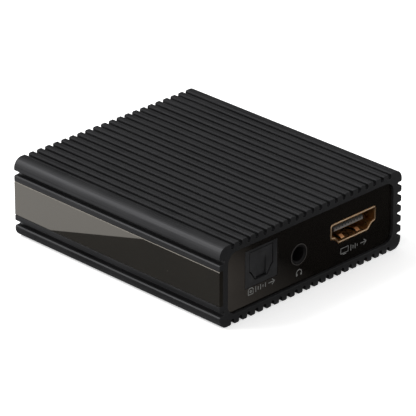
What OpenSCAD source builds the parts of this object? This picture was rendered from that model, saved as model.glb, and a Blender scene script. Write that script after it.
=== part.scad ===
// Audio extractor: a ribbed aluminium sleeve that holds one circuit board.
// The board carries a video input and a video output, an optical output with
// a sprung shutter, a 3.5 mm headphone output, a power inlet and a mode switch.
//
// Frame: X across the ribs, Y along the ribs, Z up, millimetres.
// Origin: middle of the underside. The output face looks along -Y.

/* [Housing] */
// Width of the housing, across the ribs
body_w = 60; // [59:0.5:70]
// Length of the housing, along the ribs
body_d = 67.6; // [66:0.2:90]
// Height of the housing
body_h = 20.2; // [20:0.1:26]
// Radius of the four long outer edges
corner_r = 2.4; // [1.2:0.1:2.8]
// Thickness of a side wall, from rib crest to mouth
side_wall = 2.7; // [2.5:0.1:3.2]
// Thickness of the top and bottom walls, from rib crest to mouth
top_wall = 2.3; // [2.1:0.1:2.4]
// Corner radius of the mouth at each end
mouth_r = 2.8; // [1.5:0.1:3.5]
// Width of the ledge that the end plates sit on
ledge_w = 0.5; // [0.3:0.1:0.6]

/* [Ribs] */
// Distance from one slot to the next
rib_pitch = 2.58; // [2.4:0.02:3.2]
// Width of a slot between two ribs
slot_w = 0.95; // [0.8:0.05:1.6]
// Depth of a slot between two ribs
slot_depth = 1.4; // [0.8:0.05:1.5]
// Chamfer on each rib crest
rib_chamfer = 0.25; // [0.05:0.05:0.3]
// Least plain land between a long edge and the first slot
land_min = 2.9; // [2.6:0.1:3.4]
// Height of the two grooves beside the inlay
groove_w = 1.15; // [0.9:0.05:1.8]
// Depth of the two grooves beside the inlay
groove_depth = 1.7; // [1:0.05:1.75]

/* [Inlay] */
// Height of the glossy strip in the left side
inlay_h = 8.8; // [6:0.1:9.4]
// Thickness of the glossy strip
inlay_t = 1.15; // [0.8:0.05:1.3]
// Bevel along the long edges of the strip
inlay_bevel = 0.2; // [0.1:0.05:0.4]

/* [End closures] */
// Depth of the glossy panel behind the housing's end
panel_recess = 0.7; // [0.3:0.1:1]
// Thickness of a glossy panel
panel_t = 1.5; // [1:0.1:2]
// Thickness of a metal end plate
plate_t = 1.2; // [1:0.1:1.5]
// Radius of the screw ports in the sleeve
port_r = 1.9; // [1.7:0.1:2.1]
// Radius of the pilot bore in a screw port
pilot_r = 0.85; // [0.7:0.05:1]
// Radius of a countersunk screw head
screw_head_r = 1.7; // [1.5:0.1:1.9]
// Height of a countersunk screw head
screw_head_h = 0.9; // [0.7:0.1:1]
// Length of a screw below its head
screw_len = 6; // [4:0.5:9]

/* [Board] */
// Thickness of the circuit board
board_t = 1.6; // [1:0.1:1.6]
// Space between the cavity floor and the board
board_lift = 2.45; // [2.2:0.05:2.6]
// Reach of the board rails into the cavity
rail_reach = 1.4; // [1:0.1:1.8]
// Thickness of a board rail
rail_t = 0.8; // [0.6:0.1:1]

/* [Video connectors] */
// Width of a video connector's shell
vid_w = 15; // [14.6:0.1:15.2]
// Height of a video connector's shell
vid_h = 5.25; // [5.1:0.05:5.6]
// Length of a video connector
vid_len = 11.6; // [11:0.1:13]
// Thickness of the shell's sheet
vid_wall = 0.35; // [0.25:0.05:0.4]
// Width of the lip round the shell's mouth
vid_lip = 0.15; // [0.05:0.05:0.2]
// Part of the free room across the front that lies between the video output and its screw port
vid_out_share = 0.069; // [0.05:0.005:0.1]
// Part of the free room across the rear that lies between the video input and its screw port
vid_in_share = 0.084; // [0.05:0.005:0.12]

/* [Optical output] */
// Width of the optical receptacle
opt_w = 10.3; // [10.1:0.1:11]
// Height of the optical receptacle
opt_h = 9.2; // [9.1:0.1:9.6]
// Length of the optical receptacle
opt_len = 13.4; // [13:0.1:15]
// Width of the plug opening
opt_open_w = 7.7; // [7.5:0.1:8]
// Part of the free room across the front that lies between the receptacle and its screw port
opt_share = 0.138; // [0.1:0.005:0.17]

/* [Headphone output] */
// Outer radius of the nose round the jack
jack_nose_r = 2.6; // [2.4:0.05:2.6]
// Radius of the plug bore
jack_bore_r = 1.8; // [1.78:0.01:1.9]
// Length of the jack behind its nose
jack_len = 11.4; // [11:0.1:13]
// Height of the jack's axis above the board
jack_axis = 2.62; // [2.62:0.02:2.8]
// Part of the free room across the front that lies between the receptacle and the jack
jack_share = 0.281; // [0.2:0.01:0.4]

/* [Power inlet] */
// Width of the power inlet's body
dc_w = 6.8; // [6.4:0.1:7.4]
// Length of the power inlet behind its nose
dc_len = 9.4; // [9:0.1:12]
// Radius of the bore that takes the power plug
dc_bore_r = 2; // [1.9:0.05:2.1]
// Radius of the centre pin
dc_pin_r = 0.65; // [0.5:0.05:0.8]
// Part of the free room across the rear that lies between the power inlet and its screw port
dc_share = 0.195; // [0.12:0.005:0.22]

/* [Mode switch] */
// Distance between two switch positions
switch_step = 2; // [1.5:0.1:2.2]
// Width of the knob
knob_w = 1.8; // [1.4:0.1:2.2]
// Part of the free room across the rear that lies between the power inlet and the switch
switch_share = 0.265; // [0.2:0.01:0.3]

/* [Status light] */
// Radius of the status light
led_r = 1; // [0.8:0.05:1.2]
// Part of the free room across the rear that lies between the switch and the light
led_share = 0.207; // [0.15:0.01:0.25]

/* [Hidden] */
$fn = 48;

// Widths that set how the connectors share the ends
jack_w = 6.6;
switch_w = 10;
led_flange_r = 1.3;

// How far the screw ports' axes lie over the board
port_lift = 3.25;

// Running gaps
overrun = 1;          // how far a cut passes its face
plate_gap = 0.1;      // end plate and panel to the mouth
nose_gap = 0.12;      // connector nose to its cut-out
pin_gap = 0.15;       // pin to its hole in the board
slide_gap = 0.06;     // switch slider to its frame
screw_gap = 0.05;     // screw to its port and seat
inlay_gap = 0.05;     // inlay to its seat
board_gap = 0.2;      // board to the cavity sides and the upper rails

// Levels and places that follow from the driving sizes
front_y = -body_d / 2;
rear_y = body_d / 2;
mid_z = body_h / 2;
mouth_w = body_w - 2 * side_wall;
mouth_h = body_h - 2 * top_wall;
mouth_depth = panel_recess + panel_t + plate_t;
cavity_w = mouth_w - 2 * ledge_w;
cavity_h = mouth_h - 2 * ledge_w;
cavity_r = mouth_r - ledge_w;
floor_z = top_wall + ledge_w;
board_z = floor_z + board_lift;
board_top = board_z + board_t;
board_w = cavity_w - 2 * board_gap;
board_d = body_d - 2 * mouth_depth - 2 * board_gap;
port_x = cavity_w / 2 - port_r;
port_z = board_top + port_lift;
top_slots = floor((body_w - 2 * land_min - slot_w) / rib_pitch) + 1;
side_slots = floor((body_h - 2 * land_min - slot_w) / rib_pitch) + 1;
groove_z = (side_slots - 1) / 2 * rib_pitch;

// Places across the two ends: the room that the connectors leave is shared out between them
port_inner_x = port_x - port_r;
vid_full_w = vid_w + 2 * vid_lip;
front_room = 2 * port_inner_x - opt_w - jack_w - vid_full_w;
video_out_x = port_inner_x - vid_out_share * front_room - vid_full_w / 2;
optical_x = opt_share * front_room + opt_w / 2 - port_inner_x;
headphone_x = optical_x + opt_w / 2 + jack_share * front_room + jack_w / 2;
rear_room = 2 * port_inner_x - dc_w - switch_w - 2 * led_flange_r - vid_full_w;
video_in_x = port_inner_x - vid_in_share * rear_room - vid_full_w / 2;
dc_x = dc_share * rear_room + dc_w / 2 - port_inner_x;
switch_x = dc_x + dc_w / 2 + switch_share * rear_room + switch_w / 2;
led_x = switch_x + switch_w / 2 + led_share * rear_room + led_flange_r;
tail_len = 0.9;       // how far solder pins show under the board

// Helpers

// Rounded rectangle about the origin, made of bars and circles
module rounded_rect(w, h, r) {
    square([w - 2 * r, h], center = true);
    square([w, h - 2 * r], center = true);
    for (sx = [-1, 1], sy = [-1, 1]) {
        translate([sx * (w / 2 - r), sy * (h / 2 - r)]) circle(r);
    }
}

// Draws an outline in X and Z and runs it along +Y from y
module along_y(y, len) {
    translate([0, y + len, 0]) rotate([90, 0, 0]) linear_extrude(len) children();
}

// Draws an outline in Y and Z and runs it along +X, half each way from x
module along_x(x, len) {
    translate([x - len / 2, 0, 0]) rotate([90, 0, 90]) linear_extrude(len) children();
}

// Puts a connector on the board at the front, its face in the panel's face
module at_front(x) {
    translate([x, front_y + panel_recess, board_top]) children();
}

// The same at the rear, turned about to face +Y
module at_rear(x) {
    translate([x, rear_y - panel_recess, board_top]) rotate(180) children();
}

// Puts a part on the board's top, at shares of the board's width and length from its middle
module on_board(shares) {
    translate([shares[0] * board_w, shares[1] * board_d, board_top]) children();
}

// Box by its middle in X and its low corner in Y and Z
module block(x, y, z, w, d, h) {
    translate([x - w / 2, y, z]) cube([w, d, h]);
}

// Points on an arc, from angle a to angle b
arc_steps = 6;
function arc(c, r, a, b) = [
    for (i = [0 : arc_steps]) c + r * [cos(a + (b - a) * i / arc_steps), sin(a + (b - a) * i / arc_steps)]
];

// Housing

// Slot that opens upward at its mouth and has a round bottom
module slot_2d(w, depth) {
    half = w / 2;
    translate([-half, half - depth]) square([w, depth - half + overrun]);
    translate([0, half - depth]) circle(half);
    polygon([
        [-half - rib_chamfer, overrun], [-half - rib_chamfer, 0], [-half, -rib_chamfer],
        [half, -rib_chamfer], [half + rib_chamfer, 0], [half + rib_chamfer, overrun]
    ]);
}

// Everything that the sleeve's inside keeps: screw ports and board rails
module port_and_rails_2d() {
    for (s = [-1, 1]) {
        translate([s * port_x, port_z]) circle(port_r);
        translate([s * (port_x + port_r / 2 + ledge_w / 2), port_z])
            square([port_r + ledge_w, 2 * port_r], center = true);
        rail_x = s * (cavity_w / 2 - rail_reach / 2 + ledge_w / 2);
        translate([rail_x, board_z - rail_t / 2])
            square([rail_reach + ledge_w, rail_t], center = true);
        translate([rail_x, board_top + board_gap + rail_t / 2])
            square([rail_reach + ledge_w, rail_t], center = true);
    }
}

module sleeve_outline_2d() {
    difference() {
        translate([0, mid_z]) rounded_rect(body_w, body_h, corner_r);
        for (i = [0 : top_slots - 1]) {
            x = (i - (top_slots - 1) / 2) * rib_pitch;
            translate([x, body_h]) slot_2d(slot_w, slot_depth);
            translate([x, 0]) rotate(180) slot_2d(slot_w, slot_depth);
        }
        for (i = [0 : side_slots - 1]) {
            translate([body_w / 2, mid_z + (i - (side_slots - 1) / 2) * rib_pitch])
                rotate(-90) slot_2d(slot_w, slot_depth);
        }
        for (s = [-1, 1]) {
            translate([-body_w / 2, mid_z + s * groove_z]) rotate(90) slot_2d(groove_w, groove_depth);
        }
        translate([-body_w / 2 - overrun, mid_z - inlay_h / 2 - inlay_gap])
            square([overrun + inlay_t + inlay_gap, inlay_h + 2 * inlay_gap]);
        difference() {
            translate([0, mid_z]) rounded_rect(cavity_w, cavity_h, cavity_r);
            port_and_rails_2d();
        }
        for (s = [-1, 1]) translate([s * port_x, port_z]) circle(pilot_r);
    }
}

module mouth_2d(gap) {
    translate([0, mid_z]) rounded_rect(mouth_w - 2 * gap, mouth_h - 2 * gap, mouth_r - gap);
}

module housing_sleeve() {
    color("#2b2b2c") difference() {
        along_y(front_y, body_d) sleeve_outline_2d();
        along_y(front_y - overrun, mouth_depth + overrun) mouth_2d(0);
        along_y(rear_y - mouth_depth, mouth_depth + overrun) mouth_2d(0);
    }
}

module side_inlay() {
    half = inlay_h / 2;
    color("#3b3936") along_y(front_y, body_d) translate([-body_w / 2, mid_z]) polygon([
        [inlay_t, -half], [inlay_t, half], [inlay_bevel, half],
        [0, half - inlay_bevel], [0, inlay_bevel - half], [inlay_bevel, -half]
    ]);
}

// Connector outlines in the panel's plane: X across, Y up from the board

vid_top = vid_h;                 // top of the shell above its own underside
vid_lift = 1;                    // underside of the shell above the board
vid_shoulder = 1.8;              // where the upright sides end
vid_knee = [6.2, 1.4];           // inner end of the short shoulder
vid_foot = 4.95;                 // half width of the underside
vid_corner_r = 0.6;
slant_share = 0.6;               // sideways part of a grown slanted edge

// Outline of the video shell, grown by g on every side
module vid_outline_2d(g) {
    half = vid_w / 2 + g;
    top = vid_top + g;
    r = vid_corner_r + g;
    side = slant_share * g;
    translate([0, vid_lift]) polygon(concat(
        arc([half - r, top - r], r, 0, 90),
        arc([r - half, top - r], r, 90, 180),
        [
            [-half, vid_shoulder - side], [-vid_knee[0] - side, vid_knee[1] - g],
            [-vid_foot - side, -g], [vid_foot + side, -g],
            [vid_knee[0] + side, vid_knee[1] - g], [half, vid_shoulder - side]
        ]
    ));
}

nose_w = opt_w;                  // the optical receptacle's face is square to its body

module opt_outline_2d(g) {
    translate([0, opt_h / 2]) square([nose_w + 2 * g, opt_h + 2 * g], center = true);
}

knob_h = 1.6;
switch_axis = 2.4;               // height of the knob above the board
switch_slot_gap = 0.3;           // knob to the ends of its slot

module switch_slot_2d() {
    translate([0, switch_axis]) square([
        2 * switch_step + knob_w + 2 * switch_slot_gap, knob_h + 2 * switch_slot_gap
    ], center = true);
}

dc_axis = 3;
dc_nose_r = 2.8;
led_axis = 2.55;

module front_cutouts_2d() {
    translate([0, board_top]) {
        translate([video_out_x, 0]) vid_outline_2d(vid_lip + nose_gap);
        translate([optical_x, 0]) opt_outline_2d(nose_gap);
        translate([headphone_x, jack_axis]) circle(jack_nose_r + nose_gap);
    }
}

module rear_cutouts_2d() {
    translate([0, board_top]) {
        translate([video_in_x, 0]) vid_outline_2d(vid_lip + nose_gap);
        translate([dc_x, dc_axis]) circle(dc_nose_r + nose_gap);
        translate([switch_x, 0]) switch_slot_2d();
        translate([led_x, led_axis]) circle(led_r + nose_gap);
    }
}

// End closures

// Countersunk bore: the cone opens at y = 0 and the screw points along +Y
module screw_seat() {
    for (s = [-1, 1]) translate([s * port_x, 0, port_z]) rotate([-90, 0, 0]) {
        translate([0, 0, -overrun]) cylinder(r = screw_head_r + screw_gap, h = overrun);
        cylinder(r1 = screw_head_r + screw_gap, r2 = pilot_r + screw_gap, h = screw_head_h + screw_gap);
        cylinder(r = pilot_r + screw_gap, h = plate_t + overrun);
    }
}

// One end's closing plate, its outer face at y = 0
module end_plate() {
    difference() {
        along_y(0, plate_t) difference() {
            mouth_2d(plate_gap);
            children();
        }
        screw_seat();
    }
}

module front_end_plate() {
    color("#9a9a9c") translate([0, front_y + panel_recess + panel_t, 0]) end_plate() front_cutouts_2d();
}

module rear_end_plate() {
    color("#9a9a9c") translate([0, rear_y - panel_recess - panel_t, 0]) mirror([0, 1, 0])
        end_plate() rear_cutouts_2d();
}

module front_panel() {
    color("#161412") along_y(front_y + panel_recess, panel_t) difference() {
        mouth_2d(plate_gap);
        front_cutouts_2d();
    }
}

module rear_panel() {
    color("#161412") along_y(rear_y - panel_recess - panel_t, panel_t) difference() {
        mouth_2d(plate_gap);
        rear_cutouts_2d();
    }
}

cross_share = 0.6;               // the cross recess spans this part of the head
drive_w = 0.4;                   // width of a bar of the cross recess
drive_depth = 0.5;
tip_h = 0.8;                     // taper at the screw's end

// Two countersunk screws that point along +Y, heads at y = 0
module plate_screws() {
    for (s = [-1, 1]) translate([s * port_x, 0, port_z]) rotate([-90, 0, 0]) difference() {
        union() {
            cylinder(r1 = screw_head_r, r2 = pilot_r - screw_gap, h = screw_head_h);
            cylinder(r = pilot_r - screw_gap, h = screw_len - tip_h);
            translate([0, 0, screw_len - tip_h])
                cylinder(r1 = pilot_r - screw_gap, r2 = drive_w / 2, h = tip_h);
        }
        for (a = [0, 90]) rotate(a) translate([0, 0, drive_depth / 2 - overrun / 2])
            cube([2 * screw_head_r * cross_share, drive_w, drive_depth + overrun], center = true);
    }
}

module front_plate_screws() {
    color("#8d8f92") translate([0, front_y + panel_recess + panel_t, 0]) plate_screws();
}

module rear_plate_screws() {
    color("#8d8f92") translate([0, rear_y - panel_recess - panel_t, 0]) mirror([0, 1, 0]) plate_screws();
}

// Video connectors, each in its own frame: face at y = 0, board at z = 0

vid_body_y = 8.4;                // where the solid rear block begins
vid_lip_len = 0.4;
tongue_y = 1.6;
tongue_w = 10;
tongue_z = [3.05, 4.35];         // underside and top of the tongue above the board
tongue_bevel = 0.3;
contact_w = 0.3;
contact_t = 0.15;
channel_gap = 0.02;              // contact to its channel in the block
contact_y = 2;
contact_pitch = 1;
upper_contacts = 10;
lower_contacts = 9;
spring_x = 2.6;
spring_w = 1.1;
spring_t = 0.2;
spring_y = 0.8;
spring_len = 3.8;
spring_rise = 0.55;
spring_slot_gap = 0.25;
leg_y = [3.4, 9];
leg_d = 1.3;

arch_shares = [0.25, 0.4];       // where the finger's crest begins and ends
// Arched spring finger that rises inward from a wall at z = 0
module spring_2d() {
    polygon([
        [spring_y + spring_len, 0], [spring_y + spring_len * arch_shares[1], spring_rise],
        [spring_y + spring_len * arch_shares[0], spring_rise], [spring_y, 0],
        [spring_y, spring_t], [spring_y + spring_len * arch_shares[0], spring_rise + spring_t],
        [spring_y + spring_len * arch_shares[1], spring_rise + spring_t],
        [spring_y + spring_len, spring_t]
    ]);
}

module vid_shell() {
    inner = -vid_wall;
    difference() {
        union() {
            along_y(0, vid_len) vid_outline_2d(0);
            along_y(0, vid_lip_len) vid_outline_2d(vid_lip);
            for (s = [-1, 1], y = leg_y) {
                translate([s * (vid_w / 2 - vid_wall), y, -board_t - tail_len])
                    mirror([s > 0 ? 0 : 1, 0, 0])
                        cube([vid_wall, leg_d, board_t + tail_len + vid_lift + vid_shoulder + leg_d]);
            }
        }
        along_y(-overrun, vid_len + 2 * overrun) vid_outline_2d(inner);
        for (s = [-1, 1], z = [vid_lift, vid_lift + vid_h - vid_wall]) {
            block(s * spring_x, spring_y - spring_slot_gap, z - overrun / 2,
                spring_w + 2 * spring_slot_gap, spring_len + spring_slot_gap - spring_t, vid_wall + overrun);
        }
    }
    for (s = [-1, 1]) {
        along_x(s * spring_x, spring_w) translate([0, vid_lift + vid_wall - spring_t]) spring_2d();
        translate([0, 0, 2 * vid_lift + vid_h]) mirror([0, 0, 1])
            along_x(s * spring_x, spring_w) translate([0, vid_lift + vid_wall - spring_t]) spring_2d();
    }
}

contact_gap = 0.2;
tail_y = vid_len + contact_gap;  // where the contacts turn down behind the block
foot_d = 0.9;

// One contact: a strip on the tongue, a drop behind the block and a foot
module contact(x, z) {
    block(x, contact_y, z, contact_w, tail_y + contact_t - contact_y, contact_t);
    block(x, tail_y, 0, contact_w, contact_t, z + contact_t);
    block(x, tail_y, 0, contact_w, foot_d, contact_t);
}

// Places of all contacts: across the connector, and the strip's underside
contact_places = concat(
    [for (i = [0 : upper_contacts - 1]) [(i - (upper_contacts - 1) / 2) * contact_pitch, tongue_z[1]]],
    [for (i = [0 : lower_contacts - 1]) [(i - (lower_contacts - 1) / 2) * contact_pitch, tongue_z[0] - contact_t]]
);

module vid_contacts() {
    for (p = contact_places) contact(p[0], p[1]);
}

module vid_insulator() {
    difference() {
        union() {
            along_x(0, tongue_w) polygon([
                [tongue_y + tongue_bevel, tongue_z[0]], [vid_body_y, tongue_z[0]],
                [vid_body_y, tongue_z[1]], [tongue_y + tongue_bevel, tongue_z[1]],
                [tongue_y, tongue_z[1] - tongue_bevel], [tongue_y, tongue_z[0] + tongue_bevel]
            ]);
            along_y(vid_body_y, vid_len - vid_body_y) vid_outline_2d(-vid_wall);
        }
        for (p = contact_places) {
            block(p[0], vid_body_y, p[1] - channel_gap, contact_w + 2 * channel_gap,
                vid_len - vid_body_y + overrun, contact_t + 2 * channel_gap);
        }
    }
}

module video_out_shell() { color("#c3a26a") at_front(video_out_x) vid_shell(); }
module video_out_insulator() { color("#35322f") at_front(video_out_x) vid_insulator(); }
module video_out_contacts() { color("#d6b25e") at_front(video_out_x) vid_contacts(); }
module video_in_shell() { color("#c3a26a") at_rear(video_in_x) vid_shell(); }
module video_in_insulator() { color("#35322f") at_rear(video_in_x) vid_insulator(); }
module video_in_contacts() { color("#d6b25e") at_rear(video_in_x) vid_contacts(); }

// Optical output: face at y = 0, board at z = 0

opt_sill = 1.25;                 // floor of the opening above the board
opt_lintel = 0.5;                // material above the opening
opt_cavity_len = 9.6;
key_z = 3.7;                     // where the opening narrows
key_step = 0.55;
key_foot = 2;                    // half width of the opening's floor
emitter_w = 6.4;
emitter_d = 2.6;
emitter_h = 6;
emitter_gap = 0.1;
lens_r = 1.3;
lens_len = 1;
peg_r = 0.6;
peg_y = 11.2;
peg_x = 4.2;
opt_top = opt_h - opt_lintel;
plug_axis = (opt_sill + opt_top) / 2;

// The keyed opening, shrunk by g on every side
module key_2d(g) {
    half = opt_open_w / 2 - g;
    polygon([
        [half, opt_top - g], [-half, opt_top - g], [-half, key_z + g],
        [-half + key_step, key_z - key_step + g], [-key_foot + g * slant_share, opt_sill + g],
        [key_foot - g * slant_share, opt_sill + g], [half - key_step, key_z - key_step + g],
        [half, key_z + g]
    ]);
}

module optical_housing() {
    color("#333334") at_front(optical_x) {
        difference() {
            block(0, 0, 0, opt_w, opt_len, opt_h);
            along_y(-overrun, opt_cavity_len + overrun) key_2d(0);
            translate([0, 0, plug_axis]) rotate([-90, 0, 0]) cylinder(r = lens_r + emitter_gap, h = opt_len);
            block(0, opt_len - emitter_d - emitter_gap, -overrun, emitter_w + 2 * emitter_gap,
                emitter_d + emitter_gap + overrun, plug_axis + emitter_h / 2 + emitter_gap + overrun);
            translate([0, hinge_y, hinge_z]) rotate([0, 90, 0])
                cylinder(r = hinge_pin_r + pin_seat_gap, h = hinge_pin_len, center = true);
        }
        for (s = [-1, 1]) translate([s * peg_x, peg_y, -board_t]) cylinder(r = peg_r, h = board_t);
    }
}

shutter_gap = 0.25;
shutter_back = 0.1;              // shutter's face behind the receptacle's face
shutter_t = 1.8;
hinge_pin_r = 0.35;
hinge_fit = 0.06;                // pin to the shutter
pin_seat_gap = 0.02;             // pin to the cheeks
hinge_drop = 0.85;               // hinge axis below the shutter's top edge
hinge_in = 0.75;                 // hinge axis in front of the shutter's back
hinge_y = shutter_back + shutter_t - hinge_in;
hinge_z = opt_top - shutter_gap - hinge_drop;
pin_cover = 0.4;                 // what is left of a cheek outside the pin's end
hinge_pin_len = opt_w - 2 * pin_cover;
scoop_w = 3.2;
scoop_depth = 0.6;
scoop_h = 6.2;
coil_w = 2.4;
coil_r = 0.57;
coil_wire_r = 0.11;
coil_turns = 4;
coil_gap = 0.1;
spring_leg_len = 3;

// The moving flap: the opening's own outline, with a ramp for the plug's tip
module optical_shutter() {
    color("#3a3a3b") at_front(optical_x) difference() {
        union() {
            intersection() {
                along_y(shutter_back, shutter_t) key_2d(shutter_gap);
                block(0, 0, 0, opt_w, opt_len, hinge_z);
            }
            intersection() {
                along_y(shutter_back, shutter_t) key_2d(shutter_gap);
                along_x(0, opt_w) union() {
                    translate([hinge_y, hinge_z]) circle(hinge_drop);
                    translate([0, hinge_z]) square([hinge_y, hinge_drop]);
                }
            }
        }
        along_x(0, scoop_w) polygon([
            [0, opt_sill + scoop_h], [shutter_back, opt_sill + scoop_h],
            [shutter_back + scoop_depth, opt_sill], [shutter_back + scoop_depth, 0], [0, 0]
        ]);
        translate([0, hinge_y, hinge_z]) rotate([0, 90, 0]) {
            cylinder(r = hinge_pin_r + hinge_fit, h = opt_w, center = true);
            cylinder(r = coil_r + coil_wire_r + coil_gap, h = coil_w + 2 * coil_gap, center = true);
        }
        block(0, hinge_y, hinge_z, coil_w + 2 * coil_gap, opt_len, hinge_drop + overrun);
        block(coil_w / 2 - coil_wire_r,
            hinge_y + coil_r - coil_wire_r - coil_gap, hinge_z - spring_leg_len - coil_gap,
            2 * (coil_wire_r + coil_gap), opt_len, spring_leg_len + coil_gap);
    }
}

module shutter_pin() {
    color("#c8cacc") at_front(optical_x) translate([0, hinge_y, hinge_z]) rotate([0, 90, 0])
        cylinder(r = hinge_pin_r, h = hinge_pin_len, center = true);
}

coil_sides = 6;
coil_slices = 12;                // slices in one turn

// Torsion spring round the hinge pin, with one leg down the flap's back
module shutter_spring() {
    pitch_w = coil_w - 2 * coil_wire_r;
    color("#b8babd") at_front(optical_x) translate([0, hinge_y, hinge_z]) {
        translate([-pitch_w / 2, 0, 0]) rotate([0, 90, 0]) rotate(90)
            linear_extrude(pitch_w, twist = -360 * coil_turns, slices = coil_slices * coil_turns,
                segments = coil_sides)
                translate([coil_r, 0]) circle(coil_wire_r, $fn = coil_sides);
        translate([coil_w / 2 - coil_wire_r, coil_r, -spring_leg_len])
            cylinder(r = coil_wire_r, h = spring_leg_len + coil_wire_r, $fn = coil_sides);
    }
}

pin_w = 0.45;
emitter_pins = 3;
emitter_pitch = 1.9;

module optical_emitter() {
    y = opt_len - emitter_d;
    color("#d8d2c4") at_front(optical_x) {
        block(0, y, plug_axis - emitter_h / 2, emitter_w, emitter_d, emitter_h);
        translate([0, y - lens_len, plug_axis]) rotate([-90, 0, 0]) cylinder(r = lens_r, h = lens_len + pin_w);
        for (i = [0 : emitter_pins - 1]) {
            block((i - (emitter_pins - 1) / 2) * emitter_pitch, y + emitter_d / 2, -board_t - tail_len,
                pin_w, pin_w, board_t + tail_len + plug_axis - emitter_h / 2 + pin_w);
        }
    }
}

// Headphone output: face at y = 0, board at z = 0

jack_h = 5.2;
jack_nose_len = mouth_depth - panel_recess + nose_gap;
jack_wall = 1.1;
jack_bore_len = jack_nose_len + jack_len - jack_wall;
jack_chamfer = 0.35;
leaf_y = [4.6, 7.6, 10.6];       // where each contact leaf begins
leaf_len = 2;
leaf_w = 1.6;
leaf_t = 0.25;
leaf_gap = 0.05;

module headphone_jack_body() {
    color("#343334") at_front(headphone_x) difference() {
        union() {
            block(0, jack_nose_len, 0, jack_w, jack_len, jack_h);
            translate([0, 0, jack_axis]) rotate([-90, 0, 0]) cylinder(r = jack_nose_r, h = jack_nose_len + jack_wall);
        }
        translate([0, 0, jack_axis]) rotate([-90, 0, 0]) {
            cylinder(r = jack_bore_r, h = jack_bore_len);
            translate([0, 0, -overrun]) cylinder(r = jack_bore_r + jack_chamfer, h = overrun);
            cylinder(r1 = jack_bore_r + jack_chamfer, r2 = jack_bore_r, h = jack_chamfer);
        }
        jack_pockets();
    }
}

// Windows that hold the contact leaves, by turns on the left and the right
module jack_pockets() {
    for (i = [0 : len(leaf_y) - 1]) {
        s = i % 2 == 0 ? 1 : -1;
        block(s * (jack_bore_r + jack_w / 2) / 2, leaf_y[i] - leaf_gap, jack_axis - leaf_w / 2 - leaf_gap,
            jack_w / 2 - jack_bore_r + 2 * leaf_gap, leaf_len + 2 * leaf_gap, leaf_w + 2 * leaf_gap);
    }
}

// Each leaf lies beside the bore and has a tail outside the body into the board
module headphone_jack_contacts() {
    color("#d6b25e") at_front(headphone_x) for (i = [0 : len(leaf_y) - 1]) {
        s = i % 2 == 0 ? 1 : -1;
        inner = jack_bore_r + leaf_gap;
        outer = jack_w / 2 + leaf_gap;
        block(s * (inner + outer) / 2, leaf_y[i], jack_axis - leaf_w / 2, outer - inner, leaf_len, leaf_w);
        block(s * (outer + leaf_t / 2), leaf_y[i], -board_t - tail_len, leaf_t, leaf_len,
            board_t + tail_len + jack_axis + leaf_w / 2);
    }
}

// Power inlet: face at y = 0, board at z = 0

dc_h = 5.9;
dc_nose_len = jack_nose_len;
dc_back = 2.2;
dc_bore_len = dc_nose_len + dc_len - dc_back;
dc_pin_start = 1.2;
dc_pin_head_r = 1.3;
dc_leaf_w = 1.2;
dc_leaf_y = 4.6;
dc_leaf_len = 5;
dc_leaf_t = 0.3;

module dc_jack_body() {
    color("#242424") at_rear(dc_x) difference() {
        union() {
            block(0, dc_nose_len, 0, dc_w, dc_len, dc_h);
            translate([0, 0, dc_axis]) rotate([-90, 0, 0]) cylinder(r = dc_nose_r, h = dc_nose_len + dc_back);
        }
        translate([0, 0, dc_axis]) rotate([-90, 0, 0]) {
            translate([0, 0, -overrun]) cylinder(r = dc_bore_r, h = dc_bore_len + overrun);
            cylinder(r = dc_pin_r + leaf_gap, h = dc_nose_len + dc_len + overrun);
        }
        block(0, dc_leaf_y - leaf_gap, 0 - overrun, dc_leaf_w + 2 * leaf_gap, dc_leaf_len + 2 * leaf_gap,
            dc_axis - dc_bore_r + overrun + leaf_gap);
    }
}

module dc_jack_pin() {
    color("#cfd0d2") at_rear(dc_x) {
        end = dc_nose_len + dc_len;
        translate([0, dc_pin_start, dc_axis]) rotate([-90, 0, 0]) {
            translate([0, 0, dc_pin_r]) cylinder(r = dc_pin_r, h = end - dc_pin_start - dc_pin_r);
            cylinder(r1 = dc_pin_r / 2, r2 = dc_pin_r, h = dc_pin_r);
        }
        translate([0, end, dc_axis]) rotate([-90, 0, 0]) cylinder(r = dc_pin_head_r, h = dc_leaf_t);
        block(0, end, -board_t - tail_len, dc_leaf_w, dc_leaf_t, board_t + tail_len + dc_axis);
    }
}

// Spring strip that lies in the floor of the bore and has one tail into the board
module dc_jack_contact() {
    top = dc_axis - dc_bore_r - leaf_gap;
    color("#cfd0d2") at_rear(dc_x) {
        block(0, dc_leaf_y, top - dc_leaf_t, dc_leaf_w, dc_leaf_len, dc_leaf_t);
        block(0, dc_leaf_y + dc_leaf_len - dc_leaf_w, -board_t - tail_len, dc_leaf_w / 2, dc_leaf_w,
            board_t + tail_len + top - dc_leaf_t / 2);
    }
}

// Mode switch: panel's face at y = 0, board at z = 0

switch_y = mouth_depth - panel_recess + board_gap;
switch_d = 4.2;
switch_h = 4.6;
switch_wall = 0.3;
switch_base_t = 0.8;
slider_w = 4.6;
slider_d = switch_d - switch_wall - switch_base_t - 2 * slide_gap;
switch_pins = 4;
switch_pitch = 2;
knob_tip = 0.2;                  // knob's end behind the housing's end

module mode_switch_frame() {
    color("#b7b9bb") at_rear(switch_x) difference() {
        block(0, switch_y, 0, switch_w, switch_d, switch_h);
        block(0, switch_y + switch_wall, 0 - overrun, switch_w - 2 * switch_wall, switch_d + overrun,
            switch_h - switch_wall + overrun);
        along_y(switch_y - overrun, switch_wall + 2 * overrun) switch_slot_2d();
    }
}

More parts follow.
